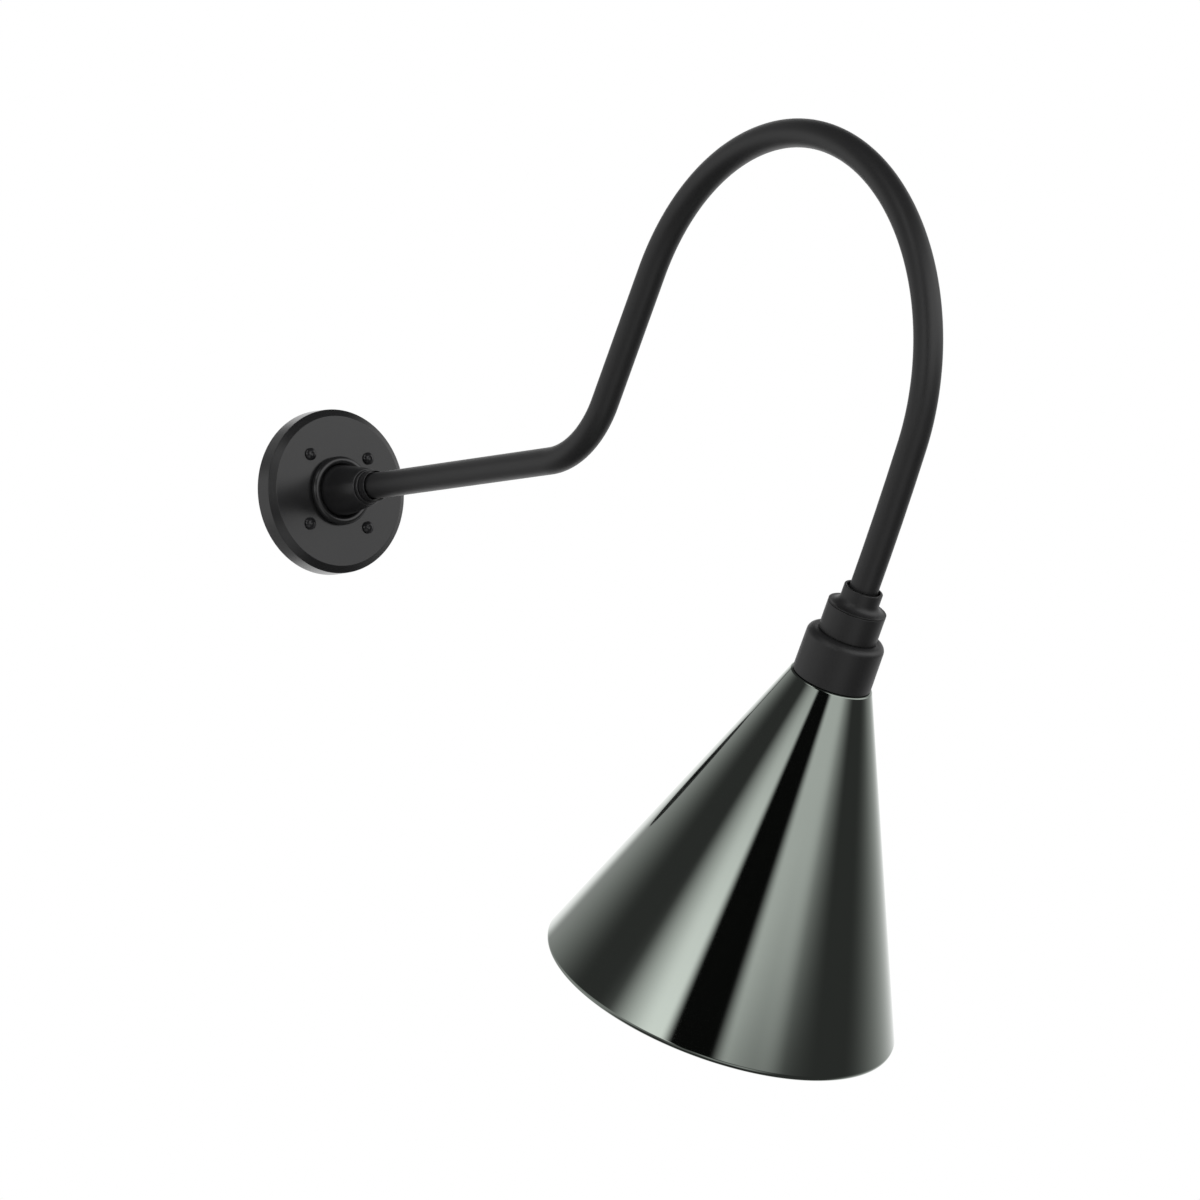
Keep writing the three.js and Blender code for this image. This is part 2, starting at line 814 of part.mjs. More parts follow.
function socketScrew() {
  const seat = -socketFloorEnd - seatGap;
  const tip = -strapEnd + strapThickness - socketScrewTip;
  return turned(
    [
      [0, seat - socketScrewHeadHeight],
      [socketScrewHeadRadius, seat - socketScrewHeadHeight, socketScrewHeadHeight / 2],
      [socketScrewHeadRadius, seat],
      [socketScrewRadius, seat],
      [socketScrewRadius, tip],
      [0, tip],
    ],
    screwSides,
  );
}

// The shell is turned as a plain sleeve, then its wall is rolled into a helical thread
function screwShell() {
  const outerRadius = socketCavityRadius - seatGap - threadDepth / 2;
  const innerRadius = outerRadius - shellWall;
  const top = -socketFloorEnd - shellInset;
  const threadLength = threadPitch * threadTurns;
  const threadTop = top - (shellLength - threadLength) / 2;
  const rows = threadTurns * threadStepsPerTurn;
  const threadHeights = Array.from({ length: rows + 1 }, (_, k) => threadTop - (threadLength * k) / rows);
  const heights = [top, ...threadHeights, top - shellLength];
  const outline = [
    ...heights.map((height) => new THREE.Vector2(outerRadius, height)),
    ...heights.toReversed().map((height) => new THREE.Vector2(innerRadius, height)),
  ];
  const geometry = turnOutline(outline, shellSides);
  const position = geometry.attributes.position;
  for (let i = 0; i < position.count; i += 1) {
    const x = position.getX(i);
    const y = position.getY(i);
    const depthShare = (threadTop - position.getZ(i)) / threadLength;
    const fade = Math.sin(Math.PI * THREE.MathUtils.clamp(depthShare, 0, 1));
    const phase = depthShare * threadTurns * 2 * Math.PI - Math.atan2(y, x);
    const roll = 1 + ((threadDepth / 2) * Math.sqrt(fade) * Math.cos(phase)) / outerRadius;
    position.setXY(i, x * roll, y * roll);
  }
  geometry.computeVertexNormals();
  return geometry;
}

// A leaf bent up from the socket's floor to meet the lamp's tip
function centreContact() {
  const base = -socketFloorEnd - seatGap;
  const half = contactLength / 2;
  const outline = [
    [-half / 2, base],
    [0, base],
    [half, base - contactRise],
    [half, base - contactRise - contactThickness],
    [0, base - contactThickness],
    [-half / 2, base - contactThickness],
  ].map(([x, y]) => new THREE.Vector2(x, y));
  return extruded(outline, [], -contactWidth / 2, contactWidth / 2).rotateX(Math.PI / 2).rotateZ(Math.PI / 2);
}

function shadeRing() {
  const innerRadius = ringSleeveRadius - ringSleeveWall;
  const bottom = -ringFlangeStart - ringFlangeThickness;
  return turned(
    [
      [innerRadius, -shadeStart + ringSleeveReach],
      [ringSleeveRadius, -shadeStart + ringSleeveReach],
      [ringSleeveRadius, -ringFlangeStart],
      [ringSleeveRadius + ringFlangeWidth, -ringFlangeStart],
      [ringSleeveRadius + ringFlangeWidth, bottom, ringFlangeThickness / 2],
      [innerRadius, bottom],
    ],
    hiddenSides,
  );
}

// A thin spun cone: a flange under the holder, a straight flank and a rim turned in
function coneShade() {
  const shadeEnd = shadeStart + shadeHeight;
  const rimCentre = new THREE.Vector2(shadeMouthRadius - shadeRimRadius, shadeRimRadius - shadeEnd);
  const top = new THREE.Vector2(shadeTopRadius, -shadeStart);
  const span = rimCentre.clone().sub(top);
  const lean = Math.atan2(span.x, -span.y) + Math.asin(shadeRimRadius / span.length());
  const flankNormal = new THREE.Vector2(Math.cos(lean), Math.sin(lean));
  const downFlank = new THREE.Vector2(Math.sin(lean), -Math.cos(lean));
  const innerTop = top.clone().addScaledVector(flankNormal, -shadeWall);
  const innerCorner = innerTop.addScaledVector(downFlank, (innerTop.y - top.y + shadeWall) / Math.cos(lean));
  const rimTurn = -radians(shadeRimTurn);
  const outerRim = [
    ...arcPoints(rimCentre, shadeRimRadius, lean, -lean).slice(0, -1),
    ...arcPoints(rimCentre, shadeRimRadius, 0, rimTurn),
  ];
  const innerRim = arcPoints(rimCentre, shadeRimRadius - shadeWall, lean, rimTurn - lean).reverse();
  const flangeHole = ringSleeveRadius + seatGap;
  const topCorners = roundCorners([
    [flangeHole, top.y - shadeWall],
    [flangeHole, top.y],
    [top.x, top.y, shadeTopRounding],
    [outerRim[0].x, outerRim[0].y],
    [innerRim.at(-1).x, innerRim.at(-1).y],
    [innerCorner.x, innerCorner.y],
  ]);
  const flank = topCorners.slice(0, -3);
  return turnOutline([...flank, ...outerRim, ...innerRim, topCorners.at(-1)], platedSides);
}

// Assembly

function addPiece(parent, name, geometry, finish, place = new THREE.Vector2()) {
  const mesh = new THREE.Mesh(geometry, new THREE.MeshStandardMaterial(finish));
  mesh.name = name;
  mesh.position.set(place.x, place.y, 0);
  parent.add(mesh);
}

function wallEnd() {
  const group = new THREE.Group();
  group.rotation.x = Math.PI / 2;
  addPiece(group, 'wall_gasket', wallGasket(), foam);
  addPiece(group, 'wall_plate', wallPlate(), blackCoat);
  addPiece(group, 'mounting_bracket', mountingBracket(), zincPlate);
  Object.entries(screwPlaces()).forEach(([corner, place]) => {
    addPiece(group, `plate_screw_${corner}`, plateScrew(), blackCoat, place);
  });
  addPiece(group, 'ground_screw', groundScrew(), greenZinc, groundScrewPlace());
  addPiece(group, 'arm_hub', armHub(), blackCoat);
  addPiece(group, 'hub_set_screw', hubSetScrew(), blackCoat);
  addPiece(group, 'hub_lock_washer', hubLockWasher(), zincPlate);
  addPiece(group, 'hub_lock_nut', hubLockNut(), zincPlate);
  addPiece(group, 'arm_collar', armCollar(), blackCoat);
  return group;
}

function lampHead() {
  const group = new THREE.Group();
  const rim = armStations(armStart, 0, 0).at(-1);
  group.position.copy(rim.point);
  group.rotation.x = radians(headLean);
  addPiece(group, 'arm_end_bushing', armEndBushing(), zincPlate);
  addPiece(group, 'neck_cup', neckCup(), blackCoat);
  addPiece(group, 'spacer_cap', spacerCap(), blackCoat);
  addPiece(group, 'shade_holder', shadeHolder(), blackCoat);
  addPiece(group, 'threaded_nipple', threadedNipple(), zincPlate);
  addPiece(group, 'socket_strap', socketStrap(), zincPlate);
  addPiece(group, 'nipple_washer', nippleWasher(), zincPlate);
  addPiece(group, 'nipple_lock_nut', nippleLockNut(), zincPlate);
  addPiece(group, 'lamp_socket', lampSocket(), porcelain);
  addPiece(group, 'socket_screw_left', socketScrew(), zincPlate, new THREE.Vector2(-socketScrewPlace, 0));
  addPiece(group, 'socket_screw_right', socketScrew(), zincPlate, new THREE.Vector2(socketScrewPlace, 0));
  addPiece(group, 'screw_shell', screwShell(), brass);
  addPiece(group, 'centre_contact', centreContact(), brass);
  addPiece(group, 'shade_ring', shadeRing(), zincPlate);
  addPiece(group, 'cone_shade', coneShade(), darkNickel);
  return group;
}

const sconce = new THREE.Group();
sconce.add(wallEnd());
addPiece(sconce, 'gooseneck_arm', gooseneckArm(), blackCoat);
addPiece(sconce, 'line_lead', supplyLead(-1), blackSleeve);
addPiece(sconce, 'neutral_lead', supplyLead(1), whiteSleeve);
sconce.add(lampHead());

export default sconce;
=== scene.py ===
"""Gooseneck wall sconce: smooth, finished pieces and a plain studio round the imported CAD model.

Lengths are in millimetres until a mesh is made, which is in metres. The wall is the plane Y = 0,
the sconce stands out along -Y and +Z is up. Pieces at the wall are drawn with Z outward from the
wall, and pieces of the lamp head with Z up the head's own axis from the rim of the neck cup.
Bores, holes, cavities and the hub's bead are given by their radius.
"""
import math

import bmesh
import bpy
from mathutils import Matrix, Vector


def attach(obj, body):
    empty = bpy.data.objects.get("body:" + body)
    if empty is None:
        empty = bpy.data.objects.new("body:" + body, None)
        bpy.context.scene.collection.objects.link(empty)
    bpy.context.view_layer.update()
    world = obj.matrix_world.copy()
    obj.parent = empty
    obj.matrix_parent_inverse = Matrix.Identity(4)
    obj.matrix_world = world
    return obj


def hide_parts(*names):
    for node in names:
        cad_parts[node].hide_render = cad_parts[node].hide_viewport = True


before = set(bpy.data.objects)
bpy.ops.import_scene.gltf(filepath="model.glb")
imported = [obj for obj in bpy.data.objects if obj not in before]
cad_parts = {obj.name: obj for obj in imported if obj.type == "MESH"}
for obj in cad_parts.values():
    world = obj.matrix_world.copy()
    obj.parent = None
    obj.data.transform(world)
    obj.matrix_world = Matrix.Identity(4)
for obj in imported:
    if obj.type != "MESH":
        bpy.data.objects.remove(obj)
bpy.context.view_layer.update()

MM = 0.001
TURN = 2 * math.pi

# Clearance and mesh fineness
GAP = 0.3
CUT_OVERRUN = 1
ON_AXIS = 1e-6
WELD_DISTANCE = 1e-7
CORNER_STEP = math.radians(7)
BEND_STEP = math.radians(1)
SHARP_ANGLE = math.radians(32)
SHADE_SIDES = 288
TURNED_SIDES = 192
NUT_SIDES = 144
SHELL_SIDES = 120
SMALL_SIDES = 72
TUBE_SIDES = 64
BORE_SIDES = 48
HOLE_SIDES = 36
LEAD_SIDES = 24

# Arm tube and its centreline, with the bends in degrees
TUBE_RADIUS = 10
TUBE_WALL = 1.5
ROOT_LENGTH = 288.4
ELBOW_RADIUS = 77.3
ELBOW_ANGLE = 58.1
RISE_LENGTH = 103.7
ARCH_RISE_RADIUS = 168.3
ARCH_FALL_RADIUS = 157.1
ARCH_FALL_ANGLE = 117.1
DROP_RADIUS = 1900
DROP_ANGLE = 3.15

# Wall plate, gasket and bracket, with the span of a slot in degrees
PLATE_RADIUS = 63.5
PLATE_DRAFT = 0.4
PLATE_SIDE_DEPTH = 14
PLATE_DEPTH = 17.4
PLATE_FACE_RADIUS = 57.7
PLATE_INNER_RADIUS = 57
PLATE_INNER_FACE = 13.4
PLATE_LIP_RADIUS = 61.5
GASKET_THICKNESS = 2
BOSS_RADIUS = 5
BOSS_OVERLAP = 2
BRACKET_RADIUS = 53
BRACKET_THICKNESS = 2
BRACKET_BORE = 16
SLOT_CIRCLES = (44.45, 34.9)
SLOT_WIDTH = 5
SLOT_SPAN = 26
SCREW_REACH = 53.3 / 2
SCREW_SHANK = 2.4
GROUND_ANGLE = math.radians(112.5)
GROUND_SHANK = 1.9

# Hub with its fasteners, and collar; a wall is what stands out round the tube's bore
HUB_TAIL_WALL = 2.8
HUB_TAIL_INSET = 3
HUB_STOP = 5.7
HUB_STOP_WIDTH = 2.6
HUB_BASE_WALL = 9.7
HUB_FRONT_WALL = 3.9
HUB_CONE_LENGTH = 36
HUB_BEAD = 3.2
HUB_BEAD_LIFT = 2.6
HUB_WASHER_WIDTH = 5
HUB_WASHER_THICKNESS = 1.5
HUB_NUT_FLATS = 38
HUB_NUT_THICKNESS = 6
SET_SCREW_RADIUS = 2
SET_SCREW_INSET = 1
SET_SCREW_PLACE = 17
SET_SCREW_ANGLE = math.radians(-50)
COLLAR_FLANGE_WALL = 2.8
COLLAR_FLANGE_LENGTH = 2.7
COLLAR_GROOVE_WALL = 1.2
COLLAR_GROOVE_LENGTH = 1.2
COLLAR_RING_WALL = 1.7
COLLAR_RING_LENGTH = 6.3
COLLAR_LIP = 0.8
COLLAR_RECESS_DEPTH = 3.5

# Neck cup, nipple, spacer cap and shade holder
NECK_RECESS_WIDTH = 1.9
NECK_RECESS_DEPTH = 5
NECK_RIM_WALL = 1.75
NECK_WALL_LENGTH = 7.5
NECK_FLARE = 5.8
NECK_FLARE_FLAT = 1.1
NECK_FLARE_EDGE = 0.8
NECK_FLOOR = 2.9
BUSHING_LENGTH = 14
NIPPLE_RADIUS = 5.15
NIPPLE_BORE = 3.5
NIPPLE_REACH = 12
NIPPLE_TIP = 0.5
NIPPLE_WASHER_WIDTH = 3.7
NIPPLE_WASHER_THICKNESS = 1.2
NIPPLE_NUT_FLATS = 15
NIPPLE_NUT_THICKNESS = 4
SPACER_HEIGHT = 19.8
SPACER_WALL = 2
SPACER_TOP = 2.5
HOLDER_STEP = 6.8
HOLDER_HEIGHT = 33.3
HOLDER_TOP = 3
HOLDER_SHOULDER = 5
HOLDER_DRAFT = 0.35
HOLDER_WALL = 3.4

# Socket, its strap and the leads
STRAP_HALF_WIDTH = 14
STRAP_FOOT = 9
STRAP_THICKNESS = 1.5
STRAP_DEPTH = 12
STRAP_FOOT_CLEARANCE = 1
SOCKET_RADIUS = 19
SOCKET_FLOOR = 9.7
SOCKET_CAVITY = 14.3
SOCKET_CAVITY_DEPTH = 38
SOCKET_GROOVE_PLACE = 14
SOCKET_GROOVE_LENGTH = 4
SOCKET_GROOVE_DEPTH = 1.2
SOCKET_SCREW_PLACE = 11
SOCKET_SCREW_RADIUS = 1.5
LEAD_RECESS_RADIUS = 3.2
LEAD_RECESS_DEPTH = 4
LEAD_RADIUS = 1.2
LEAD_OFFSET = 1.5
LEAD_START = 0.5

# Shade and the ring that clamps it
SHADE_HEIGHT = 241.8
SHADE_MOUTH_RADIUS = 126.1
SHADE_STEP = 1.2
SHADE_WALL = 1.2
SHADE_TOP_ROUNDING = 1.6
SHADE_FLANK_STEPS = 8
RIM_RADIUS = 3
RIM_TURN = math.radians(125)
RING_SLEEVE_WALL = 2.4
RING_SLEEVE_REACH = 9.1
RING_FLANGE_WIDTH = 3.6
RING_FLANGE_THICKNESS = 2

# Radii at the wall and distances from it, which follow from the sizes above
TUBE_BORE = TUBE_RADIUS + GAP
HUB_TAIL_RADIUS = TUBE_BORE + HUB_TAIL_WALL
HUB_HOLE = HUB_TAIL_RADIUS + GAP
HUB_BASE_RADIUS = TUBE_BORE + HUB_BASE_WALL
HUB_FRONT_RADIUS = TUBE_BORE + HUB_FRONT_WALL
HUB_SEAT = PLATE_DEPTH + GAP
HUB_CONE_START = HUB_SEAT + HUB_BEAD_LIFT + GAP
HUB_FRONT = HUB_CONE_START + HUB_CONE_LENGTH
HUB_WASHER_TOP = PLATE_INNER_FACE - GAP
HUB_NUT_TOP = HUB_WASHER_TOP - HUB_WASHER_THICKNESS - GAP
COLLAR_START = HUB_FRONT + GAP

# Radii of the lamp head, and distances below the rim of the neck cup
NECK_RADIUS = TUBE_RADIUS + NECK_RECESS_WIDTH + NECK_RIM_WALL
FLARE_RADIUS = NECK_RADIUS + NECK_FLARE + NECK_FLARE_FLAT
NIPPLE_HOLE = NIPPLE_RADIUS + GAP
HOLDER_RADIUS = FLARE_RADIUS + HOLDER_STEP
HOLDER_INNER = HOLDER_RADIUS - HOLDER_WALL
SHADE_TOP_RADIUS = HOLDER_RADIUS + HOLDER_DRAFT + SHADE_STEP
RING_SLEEVE = HOLDER_INNER - GAP
NECK_FLARE_PLANE = NECK_WALL_LENGTH + NECK_FLARE
NECK_LENGTH = NECK_FLARE_PLANE + NECK_FLARE_EDGE
NECK_FLOOR_TOP = NECK_LENGTH - NECK_FLOOR
ARM_END = NECK_FLOOR_TOP - GAP
SPACER_START = NECK_LENGTH + GAP
SPACER_END = SPACER_START + SPACER_HEIGHT
HOLDER_START = SPACER_END + GAP
HOLDER_END = HOLDER_START + HOLDER_HEIGHT
STRAP_START = HOLDER_START + HOLDER_TOP + GAP
WASHER_START = STRAP_START + STRAP_THICKNESS + GAP
NUT_START = WASHER_START + NIPPLE_WASHER_THICKNESS + GAP
NIPPLE_END = NUT_START + NIPPLE_NUT_THICKNESS + NIPPLE_TIP
STRAP_END = NIPPLE_END + STRAP_FOOT_CLEARANCE + STRAP_THICKNESS
SOCKET_START = STRAP_END + GAP
SOCKET_FLOOR_END = SOCKET_START + SOCKET_FLOOR
SOCKET_END = SOCKET_FLOOR_END + SOCKET_CAVITY_DEPTH
LEAD_END = SOCKET_START + LEAD_RECESS_DEPTH - GAP
SHADE_START = HOLDER_END + GAP
RING_FLANGE_START = SHADE_START + SHADE_WALL + GAP


# Outlines

def arc(centre, radius, start, turn, step=CORNER_STEP):
    """Points of an arc about centre, from the angle start through turn."""
    count = max(2, math.ceil(abs(turn) / step))
    angles = [start + turn * k / count for k in range(count + 1)]
    return [(centre[0] + radius * math.cos(a), centre[1] + radius * math.sin(a)) for a in angles]


def rounded(corners):
    """A closed outline from corners (radius, height, rounding), each rounding a tangent arc."""
    outline = []
    for i, corner in enumerate(corners):
        here = Vector(corner[:2])
        if len(corner) < 3:
            outline.append(tuple(here))
            continue
        back = (Vector(corners[i - 1][:2]) - here).normalized()
        ahead = (Vector(corners[(i + 1) % len(corners)][:2]) - here).normalized()
        half = math.acos(max(-1.0, min(1.0, back.dot(ahead)))) / 2
        centre = here + (back + ahead).normalized() * (corner[2] / math.sin(half))
        start = here + back * (corner[2] / math.tan(half)) - centre
        side = math.copysign(1, back.x * ahead.y - back.y * ahead.x)
        outline += arc(centre, corner[2], math.atan2(start.y, start.x), side * (2 * half - math.pi))
    return outline


def between(start, end, steps):
    """Points on the straight line from start to end, without its ends."""
    return [tuple(start.lerp(end, k / steps)) for k in range(1, steps)]


def circle(radius, sides, centre=(0, 0)):
    """Points of a circle, counterclockwise."""
    angles = [TURN * k / sides for k in range(sides)]
    return [(centre[0] + radius * math.cos(a), centre[1] + radius * math.sin(a)) for a in angles]


def loop_round(radii, heights):
    """Points evenly round the Z axis, each with its own radius and height."""
    angles = [TURN * k / len(radii) for k in range(len(radii))]
    return [(r * math.cos(a), r * math.sin(a), h) for r, a, h in zip(radii, angles, heights)]


def level_loop(radii, height):
    """Points evenly round the Z axis at one height."""
    return loop_round(radii, [height] * len(radii))


def hexagon(flats, sides):
    """Distances from a hexagon's centre to its edge, evenly round it."""
    reach = []
    for k in range(sides):
        angle = (TURN * k / sides + TURN / 12) % (TURN / 6) - TURN / 12
        reach.append(flats / 2 / math.cos(angle))
    return reach


# Shapes, each as a pair of vertex and face lists

def quads(low, high, sides):
    """Faces between two rings of vertices, whose first vertices are low and high."""
    faces = []
    for k in range(sides):
        m = (k + 1) % sides
        faces.append((low + k, low + m, high + m, high + k))
    return faces


def turned(outline, sides=TURNED_SIDES):
    """A closed outline of (radius, height) turned round Z."""
    vertices, faces, rings = [], [], []
    for radius, height in outline:
        first = len(vertices)
        if radius < ON_AXIS:
            vertices.append((0, 0, height))
            rings.append([first] * sides)
        else:
            vertices += [(x, y, height) for x, y in circle(radius, sides)]
            rings.append(list(range(first, first + sides)))
    for low, high in zip(rings, rings[1:] + rings[:1]):
        for k in range(sides):
            m = (k + 1) % sides
            face = list(dict.fromkeys((low[k], low[m], high[m], high[k])))
            if len(face) > 2:
                faces.append(face)
    return vertices, faces


def swept(stations, outlines):
    """A solid drawn along stations of (point, direction); one outline is a bar, two are a tube."""
    vertices, faces = [], []
    side = Vector((1, 0, 0))
    for outline in outlines:
        for point, direction in stations:
            lift = direction.cross(side)
            vertices += [tuple(point + side * x + lift * y) for x, y in outline]
    sides = len(outlines[0])
    rows = len(stations)
    for shell in range(len(outlines)):
        first = shell * rows * sides
        for i in range(rows - 1):
            faces += quads(first + i * sides, first + (i + 1) * sides, sides)
    for row in (0, rows - 1):
        if len(outlines) == 1:
            faces.append(tuple(range(row * sides, (row + 1) * sides)))
        else:
            faces += quads(row * sides, (rows + row) * sides, sides)
    return vertices, faces


def lofted(rows):
    """A closed ring-shaped solid from rows of points that all run round the same axis."""
    sides = len(rows[0])
    vertices = [point for row in rows for point in row]
    faces = []
    for i in range(len(rows)):
        faces += quads(i * sides, (i + 1) % len(rows) * sides, sides)
    return vertices, faces


def capped(rows):
    """A solid from rows of points that run round one axis, closed by a face at each end."""
    sides = len(rows[0])
    vertices, faces = lofted(rows)
    last = (len(rows) - 1) * sides
    ends = [tuple(range(sides)), tuple(range(last, last + sides))]
    return vertices, faces[:-sides] + ends


def evaluated(item):
    """A new mesh of an object with its modifiers and bevels applied."""
    bpy.context.view_layer.update()
    graph = bpy.context.evaluated_depsgraph_get()
    return bpy.data.meshes.new_from_object(item.evaluated_get(graph))


def plate_cut_out(outline, holes, thickness, edge=0.2):
    """A flat sheet with holes and softly broken edges, from the plane Z = 0 upward."""
    curve = bpy.data.curves.new("sheet", "CURVE")
    curve.dimensions = "2D"
    curve.fill_mode = "BOTH"
    curve.extrude = (thickness / 2 - edge) * MM
    curve.bevel_depth = edge * MM
    curve.bevel_resolution = 1
    curve.offset = -edge * MM
    for points in [outline, *holes]:
        spline = curve.splines.new("POLY")
        spline.points.add(len(points) - 1)
        for target, (x, y) in zip(spline.points, points):
            target.co = (x * MM, y * MM, 0, 1)
        spline.use_cyclic_u = True
    holder = bpy.data.objects.new("sheet", curve)
    bpy.context.scene.collection.objects.link(holder)
    made = evaluated(holder)
    vertices = [(v.co.x / MM, v.co.y / MM, v.co.z / MM + thickness / 2) for v in made.vertices]
    faces = [tuple(p.vertices) for p in made.polygons]
    bpy.data.objects.remove(holder)
    bpy.data.curves.remove(curve)
    bpy.data.meshes.remove(made)
    return vertices, faces


def to_mesh(name, shape):
    """A mesh in metres, welded, with its faces outward."""
    vertices, faces = shape
    mesh = bpy.data.meshes.new(name)
    mesh.from_pydata([tuple(x * MM for x in v) for v in vertices], [], faces)
    work = bmesh.new()
    work.from_mesh(mesh)
    bmesh.ops.remove_doubles(work, verts=work.verts, dist=WELD_DISTANCE)
    bmesh.ops.recalc_face_normals(work, faces=work.faces)
    work.to_mesh(mesh)
    work.free()
    return mesh


def combined(name, base, others, operation):
    """The base mesh with each other shape cut from it or joined to it."""
    body = bpy.data.objects.new(name, to_mesh(name, base))
    bpy.context.scene.collection.objects.link(body)
    helpers = []
    for shape in others:
        helper = bpy.data.objects.new("helper", to_mesh("helper", shape))
        bpy.context.scene.collection.objects.link(helper)
        helpers.append(helper)
        step = body.modifiers.new("step", "BOOLEAN")
        step.operation = operation
        step.solver = "EXACT"
        step.object = helper
    made = evaluated(body)
    for item in [body, *helpers]:
        bpy.data.objects.remove(item)
    vertices = [tuple(x / MM for x in v.co) for v in made.vertices]
    faces = [tuple(p.vertices) for p in made.polygons]
    bpy.data.meshes.remove(made)
    return vertices, faces


def moved(shape, x, y=0.0):
    """The shape shifted along X and Y."""
    vertices, faces = shape
    return [(a + x, b + y, c) for a, b, c in vertices], faces


def rod(radius, start, end, sides=SMALL_SIDES):
    """A plain round bar on the Z axis."""
    return capped([level_loop([radius] * sides, height) for height in (start, end)])


def washer(inner, outer, start, end, edge=0.15, sides=SMALL_SIDES):
    """A flat ring with broken edges."""
    corners = [(inner, start, edge), (outer, start, edge), (outer, end, edge), (inner, end, edge)]
    return turned(rounded(corners), sides)


def hex_nut(flats, bore, start, end):
    """A hexagonal nut with its corners turned off at both ends."""
    corner = flats / math.sqrt(3)
    chamfer = (corner - flats / 2) / 2
    steps = 7
    slope = []
    for k in range(steps + 1):
        slope.append((chamfer * k / steps, corner - 2 * chamfer * (1 - k / steps)))
    limits = [(end - inset, limit) for inset, limit in slope]
    limits += [(start + inset, limit) for inset, limit in reversed(slope)]
    reach = hexagon(flats, NUT_SIDES)
    rows = [level_loop([min(r, limit) for r in reach], height) for height, limit in limits]
    rows += [level_loop([bore] * NUT_SIDES, height) for height in (start, end)]
    return lofted(rows)


# Pieces

MATERIALS = {}


def piece(node, shape, place, finish, slot=None):
    """Adds a finished piece that stands for a CAD node, in the material of its finish. The slot
    argument is not used.
    """
    slot = slot or finish
    mesh = to_mesh(node + "_finished", shape)
    mesh.shade_smooth()
    mesh.set_sharp_from_angle(angle=SHARP_ANGLE)
    mesh.materials.append(MATERIALS[finish])
    made = bpy.data.objects.new(mesh.name, mesh)
    bpy.context.scene.collection.objects.link(made)
    made.matrix_world = place
    keep_flat = made.modifiers.new("even normals", "WEIGHTED_NORMAL")
    keep_flat.keep_sharp = True
    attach(made, "root")
    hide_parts(node)
    return made


def arm_stations(wall_distance, lamp_distance, shift=0.0):
    """Points and directions along the arm's centreline, in world millimetres."""
    legs = [
        (ROOT_LENGTH - wall_distance, None),
        (ELBOW_RADIUS, ELBOW_ANGLE),
        (RISE_LENGTH, None),
        (ARCH_RISE_RADIUS, -ELBOW_ANGLE),
        (ARCH_FALL_RADIUS, -ARCH_FALL_ANGLE),
        (DROP_RADIUS, -DROP_ANGLE),
        (lamp_distance, None),
    ]
    out, up, heading = wall_distance, 0.0, 0.0
    stations = []

    def add_station():
        direction = Vector((0, -math.cos(heading), math.sin(heading)))
        stations.append((Vector((shift, -out, up)), direction))

    add_station()
    for size, turn in legs:
        if turn is None:
            out += size * math.cos(heading)
            up += size * math.sin(heading)
            add_station()
            continue
        side = math.copysign(1, turn)
        centre_out = out - side * size * math.sin(heading)
        centre_up = up + side * size * math.cos(heading)
        start = heading
        steps = math.ceil(math.radians(abs(turn)) / BEND_STEP)
        for k in range(1, steps + 1):
            heading = start + math.radians(turn) * k / steps
            out = centre_out + side * size * math.sin(heading)
            up = centre_up - side * size * math.cos(heading)
            add_station()
    return stations


WORLD = Matrix.Identity(4)
WALL = Matrix.Rotation(math.radians(90), 4, "X")
NECK_RIM = arm_stations(0, 0)[-1][0]
HEAD_LEAN = math.radians(ARCH_FALL_ANGLE + DROP_ANGLE - 90)
HEAD = Matrix.Translation(NECK_RIM * MM) @ Matrix.Rotation(HEAD_LEAN, 4, "X")

SCREW_PLACES = {
    "upper_left": (-SCREW_REACH, SCREW_REACH),
    "upper_right": (SCREW_REACH, SCREW_REACH),
    "lower_left": (-SCREW_REACH, -SCREW_REACH),
    "lower_right": (SCREW_REACH, -SCREW_REACH),
}
GROUND_PLACE = (
    SLOT_CIRCLES[0] * math.cos(GROUND_ANGLE),
    SLOT_CIRCLES[0] * math.sin(GROUND_ANGLE),
)


def plate_shape():
    """The plate with its screw bosses behind the face and the holes through them."""
    rebate = GASKET_THICKNESS + GAP
    shell = turned(rounded([
        (PLATE_LIP_RADIUS, 0),
        (PLATE_RADIUS, 0, 0.3),
        (PLATE_RADIUS - PLATE_DRAFT, PLATE_SIDE_DEPTH, 0.6),
        (PLATE_FACE_RADIUS, PLATE_DEPTH, 0.6),
        (HUB_HOLE, PLATE_DEPTH),
        (HUB_HOLE, PLATE_INNER_FACE),
        (PLATE_INNER_RADIUS, PLATE_INNER_FACE, 1.5),
        (PLATE_INNER_RADIUS, rebate),
        (PLATE_LIP_RADIUS, rebate),
    ]))
    boss_end = BRACKET_THICKNESS + GAP
    boss = rod(BOSS_RADIUS, boss_end, PLATE_INNER_FACE + BOSS_OVERLAP)
    hole = rod(SCREW_SHANK + GAP, boss_end - CUT_OVERRUN, PLATE_DEPTH + CUT_OVERRUN)
    bosses = [moved(boss, x, y) for x, y in SCREW_PLACES.values()]
    holes = [moved(hole, x, y) for x, y in SCREW_PLACES.values()]
    return combined("plate", combined("plate", shell, bosses, "UNION"), holes, "DIFFERENCE")


